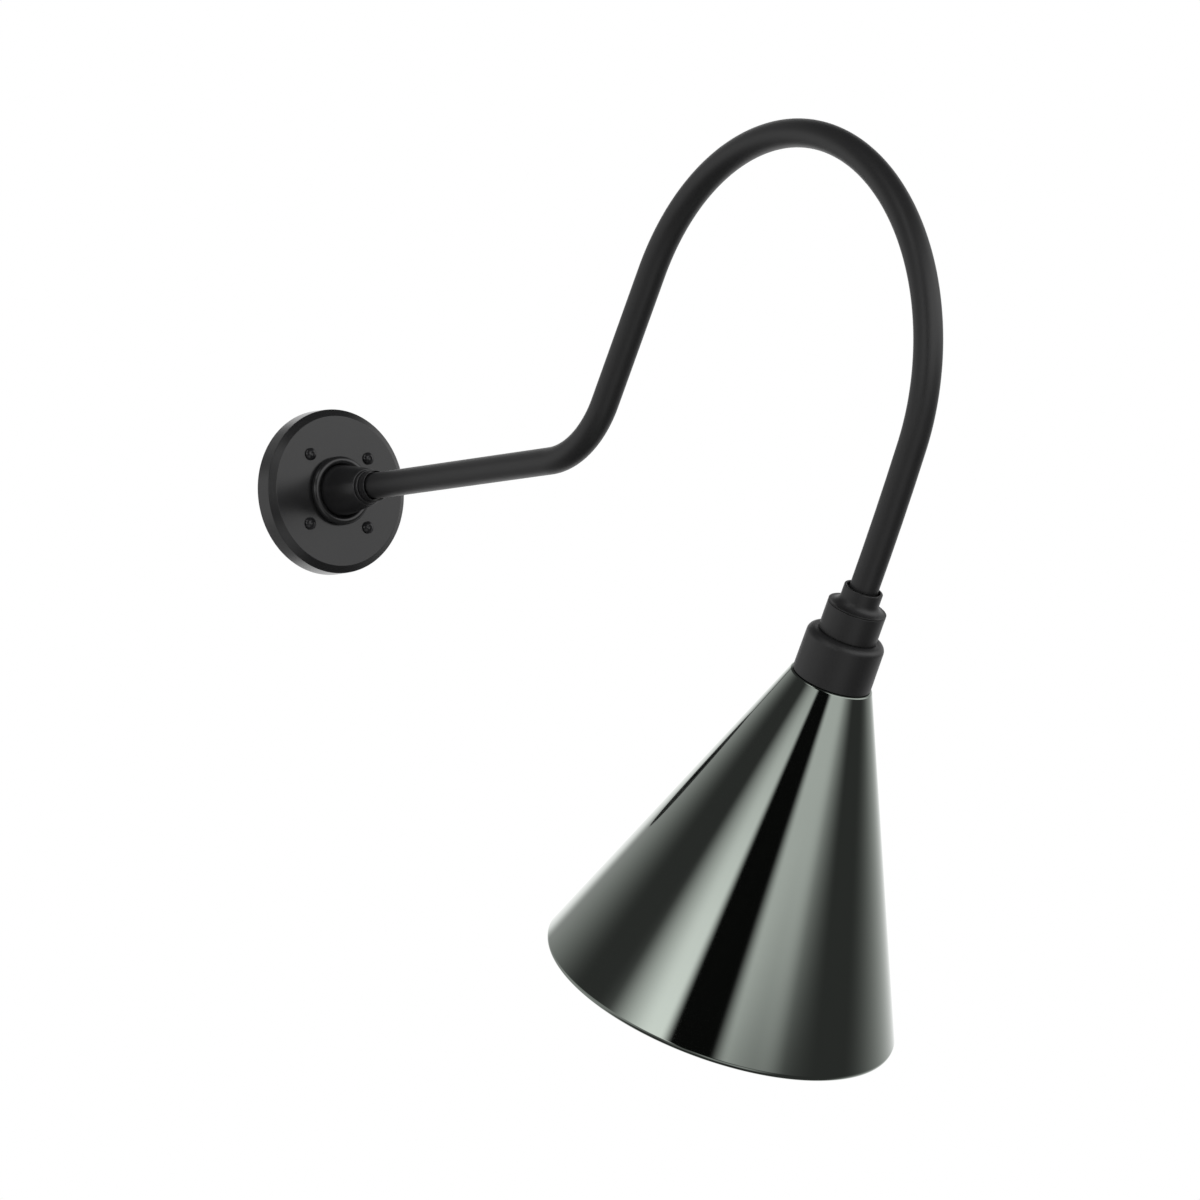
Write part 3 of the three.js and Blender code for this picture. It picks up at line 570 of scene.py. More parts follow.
def box_slot(radius, middle):
    """An outline of a slot bent round the bracket's centre."""
    half_width = SLOT_WIDTH / 2
    side_step, end_step = math.radians(2), math.radians(12)
    start = math.radians(middle - SLOT_SPAN / 2)
    end = math.radians(middle + SLOT_SPAN / 2)
    span = end - start
    tip = (radius * math.cos(end), radius * math.sin(end))
    heel = (radius * math.cos(start), radius * math.sin(start))
    return [
        *arc((0, 0), radius + half_width, start, span, side_step)[:-1],
        *arc(tip, half_width, end, math.pi, end_step)[:-1],
        *arc((0, 0), radius - half_width, end, -span, side_step)[:-1],
        *arc(heel, half_width, start + math.pi, math.pi, end_step)[:-1],
    ]


def bracket_shape():
    """A disc with an opening for the leads, screw holes and two pairs of slots for the wall box."""
    holes = [
        circle(BRACKET_BORE, SMALL_SIDES),
        circle(GROUND_SHANK + GAP, HOLE_SIDES, GROUND_PLACE),
    ]
    holes += [circle(SCREW_SHANK + GAP, HOLE_SIDES, place) for place in SCREW_PLACES.values()]
    holes += [box_slot(r, turn + i * 90) for i, r in enumerate(SLOT_CIRCLES) for turn in (0, 180)]
    return plate_cut_out(circle(BRACKET_RADIUS, TURNED_SIDES), holes, BRACKET_THICKNESS)


def button_screw_shape():
    """A button-head screw with a hexagonal socket in its dome."""
    head_radius, head_height, rim, tip = 4.7, 3.2, 0.7, 0.5
    socket_flats, socket_depth, lead_in = 2.94, 1.5, 0.18
    drill_share, drill_depth, core = 0.4, 0.25, 0.3
    crown = HUB_SEAT + head_height
    dome_height = head_height - rim
    dome_radius = (head_radius ** 2 + dome_height ** 2) / (2 * dome_height)

    def dome(r):
        return crown - dome_radius + math.sqrt(dome_radius ** 2 - r ** 2)

    drive = hexagon(socket_flats, SMALL_SIDES)
    mouth = [r + lead_in for r in drive]
    floor = crown - socket_depth
    rows = [
        level_loop([r * drill_share for r in drive], floor - drill_depth),
        level_loop(drive, floor),
        loop_round(drive, [dome(r) - lead_in for r in mouth]),
        loop_round(mouth, [dome(r) for r in mouth]),
    ]
    blend_steps = 10
    for k in range(1, blend_steps + 1):
        radii = [r + (head_radius - r) * k / blend_steps for r in mouth]
        rows.append(loop_round(radii, [dome(r) for r in radii]))
    edge = rounded([
        (head_radius, HUB_SEAT + rim),
        (head_radius, HUB_SEAT, 0.2),
        (SCREW_SHANK, HUB_SEAT),
        (SCREW_SHANK, tip, 0.4),
        (core, tip),
    ])
    rows += [level_loop([radius] * SMALL_SIDES, height) for radius, height in edge[1:]]
    return capped(rows)


def ground_screw_shape():
    """A hexagon-head screw with a flange."""
    core, tip, flange, flange_height = 0.3, 0.5, 4.2, 1
    hex_corner, hex_top, edge, edge_share, centre_share = 3.2, 3.4, 0.3, 0.92, 0.1
    seat = BRACKET_THICKNESS + GAP
    flange_top, top = seat + flange_height, seat + hex_top
    shank = [
        (core, tip),
        (GROUND_SHANK, tip),
        (GROUND_SHANK, seat),
        (flange, seat),
        (flange, flange_top),
    ]
    head = [(1.0, flange_top), (1.0, top - edge), (edge_share, top), (centre_share, top)]
    reach = hexagon(hex_corner * math.sqrt(3), SMALL_SIDES)
    rows = [level_loop([radius] * SMALL_SIDES, height) for radius, height in shank]
    rows += [level_loop([r * share for r in reach], height) for share, height in head]
    return capped(rows)


def hub_shape():
    """A tail through the plate, a round bead on its face and a tapered barrel with a screw hole."""
    bead_centre = (HUB_BASE_RADIUS + HUB_BEAD, HUB_SEAT + HUB_BEAD_LIFT)
    seat_angle = math.asin(HUB_BEAD_LIFT / HUB_BEAD)
    root_angle = math.pi - math.asin(GAP / HUB_BEAD)
    bead = arc(bead_centre, HUB_BEAD, -seat_angle, seat_angle + root_angle)
    stop = TUBE_BORE - HUB_STOP_WIDTH
    body = rounded([
        (HUB_TAIL_RADIUS, HUB_SEAT),
        (HUB_TAIL_RADIUS, HUB_TAIL_INSET, 0.4),
        (stop, HUB_TAIL_INSET, 0.3),
        (stop, HUB_STOP),
        (TUBE_BORE, HUB_STOP),
        (TUBE_BORE, HUB_FRONT, 0.3),
        (HUB_FRONT_RADIUS, HUB_FRONT, 1.0),
        (HUB_BASE_RADIUS, HUB_CONE_START),
    ])
    shell = turned(body[:-1] + bead[::-1])
    drill = set_screw_bar(SET_SCREW_RADIUS + GAP, 0, HUB_BASE_RADIUS + HUB_BEAD)
    return combined("hub", shell, [drill], "DIFFERENCE")


def set_screw_bar(radius, start, end, sides=HOLE_SIDES):
    """A bar square to the hub's axis, between two distances from that axis."""
    lift = Matrix.Translation((0, 0, HUB_CONE_START + SET_SCREW_PLACE))
    tip_over = Matrix.Rotation(math.pi / 2, 4, "Y")
    turn = lift @ Matrix.Rotation(SET_SCREW_ANGLE, 4, "Z") @ tip_over
    vertices, faces = rod(radius, start, end, sides)
    return [tuple(turn @ Vector(v)) for v in vertices], faces


def set_screw_shape():
    """A headless screw with a hexagonal drive, just below the barrel's surface."""
    drive_radius, drive_depth, drive_sides = 1, 2, 6
    taper = (HUB_BASE_RADIUS - HUB_FRONT_RADIUS) / HUB_CONE_LENGTH
    end = HUB_BASE_RADIUS - taper * SET_SCREW_PLACE - SET_SCREW_INSET - SET_SCREW_RADIUS * taper
    bar = set_screw_bar(SET_SCREW_RADIUS, TUBE_BORE, end)
    drive = set_screw_bar(drive_radius, end - drive_depth, end + CUT_OVERRUN, drive_sides)
    return combined("set screw", bar, [drive], "DIFFERENCE")


def collar_shape():
    """A flange, a groove and a ring with an open recess round the tube."""
    flange_end = COLLAR_START + COLLAR_FLANGE_LENGTH
    groove_end = flange_end + COLLAR_GROOVE_LENGTH
    ring_end = groove_end + COLLAR_RING_LENGTH
    recess_floor = ring_end - COLLAR_RECESS_DEPTH
    flange = TUBE_BORE + COLLAR_FLANGE_WALL
    groove = TUBE_BORE + COLLAR_GROOVE_WALL
    ring = TUBE_BORE + COLLAR_RING_WALL
    return turned(rounded([
        (TUBE_BORE, COLLAR_START),
        (flange, COLLAR_START, 0.3),
        (flange, flange_end, 0.8),
        (groove, flange_end),
        (groove, groove_end),
        (ring, groove_end, 0.6),
        (ring, ring_end, 0.35),
        (ring - COLLAR_LIP, ring_end, 0.2),
        (ring - COLLAR_LIP, recess_floor),
        (TUBE_BORE, recess_floor),
    ]))


def neck_shape():
    """A cup with an open recess round the tube and a foot that flares out."""
    recess = TUBE_RADIUS + NECK_RECESS_WIDTH
    return turned(rounded([
        (recess, 0, 0.3),
        (NECK_RADIUS, 0, 0.6),
        (NECK_RADIUS, -NECK_FLARE_PLANE, NECK_FLARE),
        (FLARE_RADIUS, -NECK_FLARE_PLANE, 0.25),
        (FLARE_RADIUS, -NECK_LENGTH, 0.2),
        (NIPPLE_HOLE, -NECK_LENGTH),
        (NIPPLE_HOLE, -NECK_FLOOR_TOP),
        (TUBE_BORE, -NECK_FLOOR_TOP),
        (TUBE_BORE, -NECK_RECESS_DEPTH),
        (recess, -NECK_RECESS_DEPTH, 0.4),
    ]))


def spacer_shape():
    """A plain cup, open downward."""
    inner = FLARE_RADIUS - SPACER_WALL
    return turned(rounded([
        (NIPPLE_HOLE, -SPACER_START),
        (FLARE_RADIUS, -SPACER_START, 0.5),
        (FLARE_RADIUS, -SPACER_END, 0.15),
        (inner, -SPACER_END),
        (inner, -SPACER_START - SPACER_TOP, 2),
        (NIPPLE_HOLE, -SPACER_START - SPACER_TOP),
    ]))


def holder_shape():
    """A wider cup with a round shoulder, open downward."""
    return turned(rounded([
        (NIPPLE_HOLE, -HOLDER_START),
        (HOLDER_RADIUS, -HOLDER_START, HOLDER_SHOULDER),
        (HOLDER_RADIUS + HOLDER_DRAFT, -HOLDER_END, 0.4),
        (HOLDER_INNER, -HOLDER_END, 0.2),
        (HOLDER_INNER, -HOLDER_START - HOLDER_TOP, 2.5),
        (NIPPLE_HOLE, -HOLDER_START - HOLDER_TOP),
    ]))


def socket_screw_drills(start, end):
    """Bars that cut the two holes of the socket's screws."""
    drill = rod(SOCKET_SCREW_RADIUS + GAP, start, end, HOLE_SIDES)
    return [moved(drill, side * SOCKET_SCREW_PLACE) for side in (-1, 1)]


def strap_shape():
    """A strap bent like a square hook on both sides, with feet turned in under the nut."""
    inner = STRAP_HALF_WIDTH - STRAP_THICKNESS
    top, foot = -STRAP_START - STRAP_THICKNESS, -STRAP_END + STRAP_THICKNESS
    right = [
        (STRAP_HALF_WIDTH, -STRAP_START, 1.6),
        (STRAP_HALF_WIDTH, -STRAP_END, 1.6),
        (STRAP_FOOT, -STRAP_END),
        (STRAP_FOOT, foot),
        (inner, foot, 0.4),
        (inner, top, 0.4),
    ]
    left = [(-c[0], *c[1:]) for c in reversed(right)]
    outline = rounded(right + left)
    rows = [[(x, y, h) for x, h in outline] for y in (-STRAP_DEPTH / 2, STRAP_DEPTH / 2)]
    cutters = [rod(NIPPLE_HOLE, top - CUT_OVERRUN, -STRAP_START + CUT_OVERRUN, BORE_SIDES)]
    cutters += socket_screw_drills(-STRAP_END - CUT_OVERRUN, foot + CUT_OVERRUN)
    return combined("strap", capped(rows), cutters, "DIFFERENCE")


def socket_shape():
    """A round body with a waist groove, a cavity for the shell and a recess for the leads."""
    groove_top = -SOCKET_START - SOCKET_GROOVE_PLACE
    groove_bottom = groove_top - (SOCKET_GROOVE_LENGTH + SOCKET_GROOVE_DEPTH)
    groove = SOCKET_RADIUS - SOCKET_GROOVE_DEPTH
    body = turned(rounded([
        (0, -SOCKET_START),
        (SOCKET_RADIUS, -SOCKET_START, 1.6),
        (SOCKET_RADIUS, groove_top, 0.8),
        (groove, groove_top - SOCKET_GROOVE_DEPTH, 0.4),
        (groove, groove_top - SOCKET_GROOVE_LENGTH, 0.4),
        (SOCKET_RADIUS, groove_bottom, 0.8),
        (SOCKET_RADIUS, -SOCKET_END, 1.6),
        (SOCKET_CAVITY, -SOCKET_END, 0.6),
        (SOCKET_CAVITY, -SOCKET_FLOOR_END, 0.5),
        (0, -SOCKET_FLOOR_END),
    ]))
    over_top = -SOCKET_START + CUT_OVERRUN
    cutters = [rod(LEAD_RECESS_RADIUS, -SOCKET_START - LEAD_RECESS_DEPTH, over_top, BORE_SIDES)]
    cutters += socket_screw_drills(-SOCKET_FLOOR_END - CUT_OVERRUN, over_top)
    return combined("socket", body, cutters, "DIFFERENCE")


def socket_screw_shape(side):
    """A round-head screw with a straight slot across its head."""
    head_radius, head_height = 3, 2.2
    slot_half, slot_reach, slot_floor, slot_end = 0.35, 3.5, 1.3, 3
    seat = -SOCKET_FLOOR_END - GAP
    crown = seat - head_height
    tip = -STRAP_END + STRAP_THICKNESS - GAP
    body = turned(rounded([
        (0, crown),
        (head_radius, crown, 1.1),
        (head_radius, seat, 0.1),
        (SOCKET_SCREW_RADIUS, seat),
        (SOCKET_SCREW_RADIUS, tip, 0.2),
        (0, tip),
    ]), SMALL_SIDES)
    corners = [
        (-slot_reach, -slot_half),
        (slot_reach, -slot_half),
        (slot_reach, slot_half),
        (-slot_reach, slot_half),
    ]
    slot = capped([[(x, y, h) for x, y in corners] for h in (seat - slot_end, seat - slot_floor)])
    return moved(combined("socket screw", body, [slot], "DIFFERENCE"), side * SOCKET_SCREW_PLACE)


def screw_shell_shape():
    """The lamp's shell: a thin sleeve with a rolled helical thread."""
    depth, pitch, turns, wall, length, inset = 0.7, 3.63, 4, 0.5, 30, 3
    outer = SOCKET_CAVITY - GAP - depth / 2
    top = -SOCKET_FLOOR_END - inset
    thread_length = pitch * turns
    thread_top = top - (length - thread_length) / 2
    steps = 160
    heights = [top - length * k / steps for k in range(steps + 1)]
    angles = [TURN * k / SHELL_SIDES for k in range(SHELL_SIDES)]

    def ring_at(radius, height):
        share = (thread_top - height) / thread_length
        fade = math.sqrt(max(0.0, math.sin(math.pi * min(max(share, 0.0), 1.0))))
        rolls = [depth / 2 * fade * math.cos(share * turns * TURN - a) for a in angles]
        return level_loop([radius + roll for roll in rolls], height)

    rows = [ring_at(outer, h) for h in heights]
    rows += [ring_at(outer - wall, h) for h in reversed(heights)]
    return lofted(rows)


def contact_shape():
    """A leaf bent up from the socket's floor to meet the lamp's tip."""
    base, half, rise, thick, width = -SOCKET_FLOOR_END - GAP, 6, 4, 0.8, 6
    corners = [
        (-half / 2, base, 0.2),
        (0, base, 1.2),
        (half, base - rise, 0.2),
        (half, base - rise - thick, 0.2),
        (0, base - thick, 2.0),
        (-half / 2, base - thick, 0.2),
    ]
    outline = rounded(corners)
    return capped([[(x, y, h) for y, h in outline] for x in (-width / 2, width / 2)])


def ring_shape():
    """A sleeve inside the holder with a flange under the shade's top."""
    inner = RING_SLEEVE - RING_SLEEVE_WALL
    flange = RING_SLEEVE + RING_FLANGE_WIDTH
    top = -SHADE_START + RING_SLEEVE_REACH
    bottom = -RING_FLANGE_START - RING_FLANGE_THICKNESS
    return turned(rounded([
        (inner, top, 0.2),
        (RING_SLEEVE, top, 0.2),
        (RING_SLEEVE, -RING_FLANGE_START),
        (flange, -RING_FLANGE_START, 0.3),
        (flange, bottom, 1),
        (inner, bottom, 0.4),
    ]))


def shade_outline():
    """The spun cone's outline, and how many of its first points lie on the polished outside."""
    end = SHADE_START + SHADE_HEIGHT
    rim_centre = Vector((SHADE_MOUTH_RADIUS - RIM_RADIUS, RIM_RADIUS - end))
    top = Vector((SHADE_TOP_RADIUS, -SHADE_START))
    span = rim_centre - top
    lean = math.atan2(span.x, -span.y) + math.asin(RIM_RADIUS / span.length)
    normal = Vector((math.cos(lean), math.sin(lean)))
    down = Vector((math.sin(lean), -math.cos(lean)))
    inner_top = top - normal * SHADE_WALL
    inner_corner = inner_top + down * ((inner_top.y - top.y + SHADE_WALL) / math.cos(lean))
    outer_rim = arc(rim_centre, RIM_RADIUS, lean, -RIM_TURN - lean)
    inner_rim = arc(rim_centre, RIM_RADIUS - SHADE_WALL, lean, -RIM_TURN - lean)[::-1]
    hole = RING_SLEEVE + GAP
    head = rounded([
        (hole, top.y - SHADE_WALL),
        (hole, top.y),
        (top.x, top.y, SHADE_TOP_ROUNDING),
        outer_rim[0],
        inner_rim[-1],
        tuple(inner_corner),
    ])
    flank = between(Vector(head[-4]), Vector(outer_rim[0]), SHADE_FLANK_STEPS)
    inner_flank = between(Vector(inner_rim[-1]), inner_corner, SHADE_FLANK_STEPS)
    outside = head[:-3] + flank + outer_rim
    return outside + inner_rim + inner_flank + [head[-1]], len(outside)


# Materials

def new_material(name):
    """A node material, with its tree and its one shader."""
    material = bpy.data.materials.new(name)
    material.use_nodes = True
    tree = material.node_tree
    tree.nodes.clear()
    output = tree.nodes.new("ShaderNodeOutputMaterial")
    shader = tree.nodes.new("ShaderNodeBsdfPrincipled")
    tree.links.new(shader.outputs["BSDF"], output.inputs["Surface"])
    return material, tree, shader


def node(tree, kind, inputs=None, **settings):
    """A shader node with its settings, and inputs that are values or sockets."""
    made = tree.nodes.new(kind)
    for key, value in settings.items():
        setattr(made, key, value)
    for key, value in (inputs or {}).items():
        if isinstance(value, bpy.types.NodeSocket):
            tree.links.new(value, made.inputs[key])
        else:
            made.inputs[key].default_value = value
    return made


def calculated(tree, operation, *values):
    inputs = dict(enumerate(values))
    return node(tree, "ShaderNodeMath", inputs, operation=operation).outputs[0]


def coordinates(tree):
    return node(tree, "ShaderNodeTexCoord").outputs["Object"]


def noise(tree, place, scale, detail=3.0, roughness=0.55):
    inputs = {"Vector": place, "Scale": scale, "Detail": detail, "Roughness": roughness}
    return node(tree, "ShaderNodeTexNoise", inputs).outputs["Fac"]


def remap(tree, value, low, high, start=0.0, end=1.0, curve="LINEAR"):
    """The value taken from the range start to end into the range low to high."""
    inputs = {"Value": value, "From Min": start, "From Max": end, "To Min": low, "To Max": high}
    made = node(tree, "ShaderNodeMapRange", inputs, interpolation_type=curve)
    return made.outputs["Result"]


def blend(tree, share, first, second):
    made = node(tree, "ShaderNodeMix", {"Factor": share}, data_type="RGBA")
    made.inputs["A"].default_value = (*first, 1)
    made.inputs["B"].default_value = (*second, 1)
    return made.outputs["Result"]


def relief(tree, shader, height, strength, depth):
    """Bumps the surface; depth is in millimetres."""
    inputs = {"Height": height, "Strength": strength, "Distance": depth * MM}
    bump = node(tree, "ShaderNodeBump", inputs)
    tree.links.new(bump.outputs["Normal"], shader.inputs["Normal"])


def mottled(name, dark, light, rough, metallic, grain, patch, bump, depth):
    """A finish with slow patches of colour and gloss and a fine grain in its surface."""
    material, tree, shader = new_material(name)
    place = coordinates(tree)
    slow = noise(tree, place, patch, 4.0)
    fine = noise(tree, place, grain, 2.0)
    tree.links.new(blend(tree, slow, dark, light), shader.inputs["Base Color"])
    tree.links.new(remap(tree, slow, *rough), shader.inputs["Roughness"])
    shader.inputs["Metallic"].default_value = metallic
    relief(tree, shader, fine, bump, depth)
    MATERIALS[name] = material
    return shader


def powder_coats():
    """Black powder coat with a very fine orange-peel surface, satin on the pieces at the wall."""
    dark, light = (0.0085, 0.0085, 0.009), (0.0115, 0.0115, 0.012)
    for name, rough in (("black_coat", (0.42, 0.5)), ("satin_coat", (0.22, 0.28))):
        shader = mottled(
            name, dark, light, rough, metallic=0.0, grain=700, patch=35, bump=0.25, depth=0.06,
        )
        shader.inputs["Specular IOR Level"].default_value = 0.69


def black_nickel():
    """Polished black nickel on a spun cone, with faint turning marks round its axis."""
    material, tree, shader = new_material("black_nickel")
    dark, light = (0.29, 0.322, 0.292), (0.31, 0.342, 0.31)
    mark_radius = 0.004
    place = coordinates(tree)
    parts = node(tree, "ShaderNodeSeparateXYZ", {"Vector": place}).outputs
    angle = calculated(tree, "ARCTAN2", parts["Y"], parts["X"])
    around = calculated(tree, "MULTIPLY", angle, mark_radius)
    along = node(tree, "ShaderNodeCombineXYZ", {"X": around, "Z": parts["Z"]})
    marks = noise(tree, along.outputs[0], 900.0)
    slow = noise(tree, place, 14.0)
    tree.links.new(blend(tree, slow, dark, light), shader.inputs["Base Color"])
    shader.inputs["Metallic"].default_value = 1.0
    rough = remap(tree, marks, low=0.035, high=0.06, start=0.3, end=0.7)
    tree.links.new(rough, shader.inputs["Roughness"])
    relief(tree, shader, marks, strength=0.03, depth=0.004)
    MATERIALS["black_nickel"] = material


# Name, dark and light colour, and then the roughness range, the metallic value, the scales of the
# grain and of the patches, and the strength and depth of the relief, with the depth in millimetres
PLAIN_FINISHES = (
    ("shade_inside", (0.72, 0.72, 0.7), (0.78, 0.78, 0.76),
     (0.35, 0.45), 0.0, 600, 20, 0.08, 0.05),
    ("black_screw", (0.008, 0.008, 0.009), (0.013, 0.013, 0.014),
     (0.2, 0.28), 0.0, 2500, 60, 0.08, 0.05),
    ("zinc_steel", (0.44, 0.45, 0.45), (0.55, 0.55, 0.53),
     (0.28, 0.45), 1.0, 1500, 90, 0.12, 0.05),
    ("green_screw", (0.03, 0.18, 0.07), (0.05, 0.25, 0.1),
     (0.3, 0.45), 0.6, 1500, 200, 0.12, 0.05),
    ("shell_brass", (0.6, 0.42, 0.17), (0.7, 0.5, 0.22),
     (0.22, 0.36), 1.0, 1200, 120, 0.08, 0.05),
    ("porcelain", (0.76, 0.74, 0.68), (0.82, 0.8, 0.74),
     (0.12, 0.2), 0.0, 220, 60, 0.05, 0.05),
    ("gasket_foam", (0.014, 0.014, 0.014), (0.03, 0.03, 0.03),
     (0.85, 0.98), 0.0, 2200, 300, 0.8, 0.2),
    ("black_lead", (0.015, 0.015, 0.015), (0.025, 0.025, 0.025),
     (0.45, 0.6), 0.0, 900, 150, 0.1, 0.05),
    ("white_lead", (0.7, 0.69, 0.65), (0.78, 0.77, 0.73),
     (0.45, 0.6), 0.0, 900, 150, 0.1, 0.05),
)


def add_materials():
    powder_coats()
    black_nickel()
    for finish in PLAIN_FINISHES:
        mottled(*finish)


# Camera from the fit of the photo, with its place in metres and its lens in millimetres

CAMERA_PLACE = (-2.30468, -3.38215, -0.41332)
VIEW_DIRECTION = (0.602911, 0.793731, 0.080593)
FOCAL_LENGTH = 160.13
SENSOR_WIDTH = 36


def add_camera():
    data = bpy.data.cameras.new("camera")
    data.sensor_width = SENSOR_WIDTH
    data.lens = FOCAL_LENGTH
    data.clip_start, data.clip_end = 0.1, 100
    camera = bpy.data.objects.new("camera", data)
    camera.location = CAMERA_PLACE
    camera.rotation_mode = "QUATERNION"
    camera.rotation_quaternion = Vector(VIEW_DIRECTION).to_track_quat("-Z", "Y")
    bpy.context.scene.collection.objects.link(camera)
    bpy.context.scene.camera = camera


# Studio

# Soft boxes as (strength, azimuth rise, azimuth fall, elevation rise, elevation fall, tilt), with
# angles in degrees. Azimuth runs from -Y towards +X. The tilt is how far a box's edges come down
# per degree of azimuth.
SOFT_BOXES = (
    (1.0, (-32, -22), (-8, 14), (-15, -9), (-2, 6), 0.15),
    (1.0, (-8, 14), (-9, 36), (-15, -9.5), (-2, 6), 0.0),
    (1.2, (-34, -20), (60, 100), (-4, 8), (30, 45), 0.0),
    (0.5, (-62, -48), (-18, 14), (-70, -50), (-28, -16), 0.0),
    (1.8, (-97, -66), (-61.5, -54), (-38, -26), (-19, -9.5), 0.41),
    (1.5, (-97, -66), (-61.5, -54), (24, 34), (48, 58), 0.0),
    (0.2, (-100, -66), (-64, -56), (-60, -45), (-12, 0), 0.0),
)
# The same for what stands behind the sconce, with azimuth from +Y towards -X.
BACKDROPS = (
    (0.75, (-124, -28), (-20, -4), (-50, -30), (30, 50), 0.0),
    (0.45, (-124, -28), (-5, 60), (-50, -30), (30, 50), 0.0),
    (0.42, (5, 35), (85, 105), (-35, -15), (10, 24), 0.0),
)
# The black upright in front, as (azimuth rise, azimuth fall). Where no soft box is, gloss shows
# DIM_LEVEL * (1 + STRIPE_SHARE) beside the upright and DIM_LEVEL * STRIPE_SHARE inside it.
BLACK_STRIPE = ((-60, -54), (-33, -29))
DIM_LEVEL = 0.06
STRIPE_SHARE = 0.12
# What lights everything that isn't gloss.
DIFFUSE_LEVEL = 0.75


def add_world():
    """White to the camera; in gloss, soft boxes in front and a backdrop behind the sconce."""
    world = bpy.data.worlds.new("studio")
    bpy.context.scene.world = world
    world.use_nodes = True
    tree = world.node_tree
    tree.nodes.clear()
    output = tree.nodes.new("ShaderNodeOutputWorld")
    direction = node(tree, "ShaderNodeTexCoord").outputs["Generated"]
    parts = node(tree, "ShaderNodeSeparateXYZ", {"Vector": direction}).outputs

    def degrees(angle):
        return calculated(tree, "MULTIPLY", angle, 180 / math.pi)

    def window(value, rise, fall):
        """1 between two soft edges, 0 outside them."""
        rising = remap(tree, value, 0.0, 1.0, *rise, curve="SMOOTHSTEP")
        falling = remap(tree, value, 1.0, 0.0, *fall, curve="SMOOTHSTEP")
        return calculated(tree, "MULTIPLY", rising, falling)

    def background(level):
        inputs = {"Color": (1, 1, 1, 1), "Strength": level}
        return node(tree, "ShaderNodeBackground", inputs).outputs[0]

    def choice(share, first, second):
        return node(tree, "ShaderNodeMixShader", {0: share, 1: first, 2: second}).outputs[0]

    across, depth = parts["X"], parts["Y"]
    elevation = degrees(calculated(tree, "ARCSINE", parts["Z"]))
    towards_front = calculated(tree, "MULTIPLY", depth, -1.0)
    from_front = degrees(calculated(tree, "ARCTAN2", across, towards_front))
    towards_left = calculated(tree, "MULTIPLY", across, -1.0)
    from_back = degrees(calculated(tree, "ARCTAN2", towards_left, depth))
    beside_stripe = calculated(
        tree, "SUBTRACT", 1 + STRIPE_SHARE, window(from_front, *BLACK_STRIPE),
    )
    studio = calculated(tree, "MULTIPLY", beside_stripe, DIM_LEVEL)
    for azimuth, boxes in ((from_front, SOFT_BOXES), (from_back, BACKDROPS)):
        for strength, rise, fall, low, high, tilt in boxes:
            height = calculated(tree, "MULTIPLY_ADD", azimuth, tilt, elevation)
            across_box, up_box = window(azimuth, rise, fall), window(height, low, high)
            box = calculated(tree, "MULTIPLY", across_box, up_box)
            studio = calculated(tree, "MULTIPLY_ADD", box, strength, studio)
    path = node(tree, "ShaderNodeLightPath").outputs
    lit = choice(path["Is Glossy Ray"], background(DIFFUSE_LEVEL), background(studio))
    seen = choice(path["Is Camera Ray"], lit, background(1.0))
    tree.links.new(seen, output.inputs["Surface"])


def add_overhead():
    """A square area lamp above and in front, in metres, which doesn't show in gloss."""
    place, target, width, power = Vector((-0.6, -1.2, 2.2)), Vector((0, -0.35, 0)), 1.6, 15
    data = bpy.data.lights.new("overhead", "AREA")
    data.shape = "RECTANGLE"
    data.size = data.size_y = width
    data.energy = power
    lamp = bpy.data.objects.new("overhead", data)
    lamp.location = place
    lamp.rotation_mode = "QUATERNION"
    lamp.rotation_quaternion = (target - place).to_track_quat("-Z", "Y")
    lamp.visible_glossy = False
    bpy.context.scene.collection.objects.link(lamp)


def add_floor():
    """A pale floor well below the sconce, in metres, which keeps the sconce's shadow."""
    half, level = 14.0, -1.6
    mesh = bpy.data.meshes.new("floor")
    corners = [(-half, -half), (half, -half), (half, half), (-half, half)]
    mesh.from_pydata([(x, y, level) for x, y in corners], [], [(0, 1, 2, 3)])
    floor = bpy.data.objects.new("floor", mesh)
    bpy.context.scene.collection.objects.link(floor)
    material, _, shader = new_material("floor")
    shader.inputs["Base Color"].default_value = (0.8, 0.8, 0.8, 1)
    shader.inputs["Roughness"].default_value = 0.9
    shader.inputs["Emission Color"].default_value = (1, 1, 1, 1)
    shader.inputs["Emission Strength"].default_value = 0.3
    mesh.materials.append(material)
    floor.visible_glossy = False


add_materials()

# Pieces at the wall

gasket = washer(
    PLATE_INNER_RADIUS + GAP, PLATE_LIP_RADIUS - GAP, 0, GASKET_THICKNESS, 0.2, TURNED_SIDES,
)
piece("wall_gasket", gasket, WALL, "gasket_foam")
piece("wall_plate", plate_shape(), WALL, "satin_coat", "black_coat")
piece("mounting_bracket", bracket_shape(), WALL, "zinc_steel")
screw = button_screw_shape()
for corner, (x, y) in SCREW_PLACES.items():
    piece("plate_screw_" + corner, moved(screw, x, y), WALL, "black_screw")
piece("ground_screw", moved(ground_screw_shape(), *GROUND_PLACE), WALL, "green_screw")
piece("arm_hub", hub_shape(), WALL, "satin_coat", "black_coat")
piece("hub_set_screw", set_screw_shape(), WALL, "black_screw")
hub_washer = washer(
    HUB_HOLE, HUB_HOLE + HUB_WASHER_WIDTH, HUB_WASHER_TOP - HUB_WASHER_THICKNESS, HUB_WASHER_TOP,
)
piece("hub_lock_washer", hub_washer, WALL, "zinc_steel")
hub_nut = hex_nut(HUB_NUT_FLATS, HUB_HOLE, HUB_NUT_TOP - HUB_NUT_THICKNESS, HUB_NUT_TOP)
piece("hub_lock_nut", hub_nut, WALL, "zinc_steel")
piece("arm_collar", collar_shape(), WALL, "satin_coat", "black_coat")

# The arm and its leads

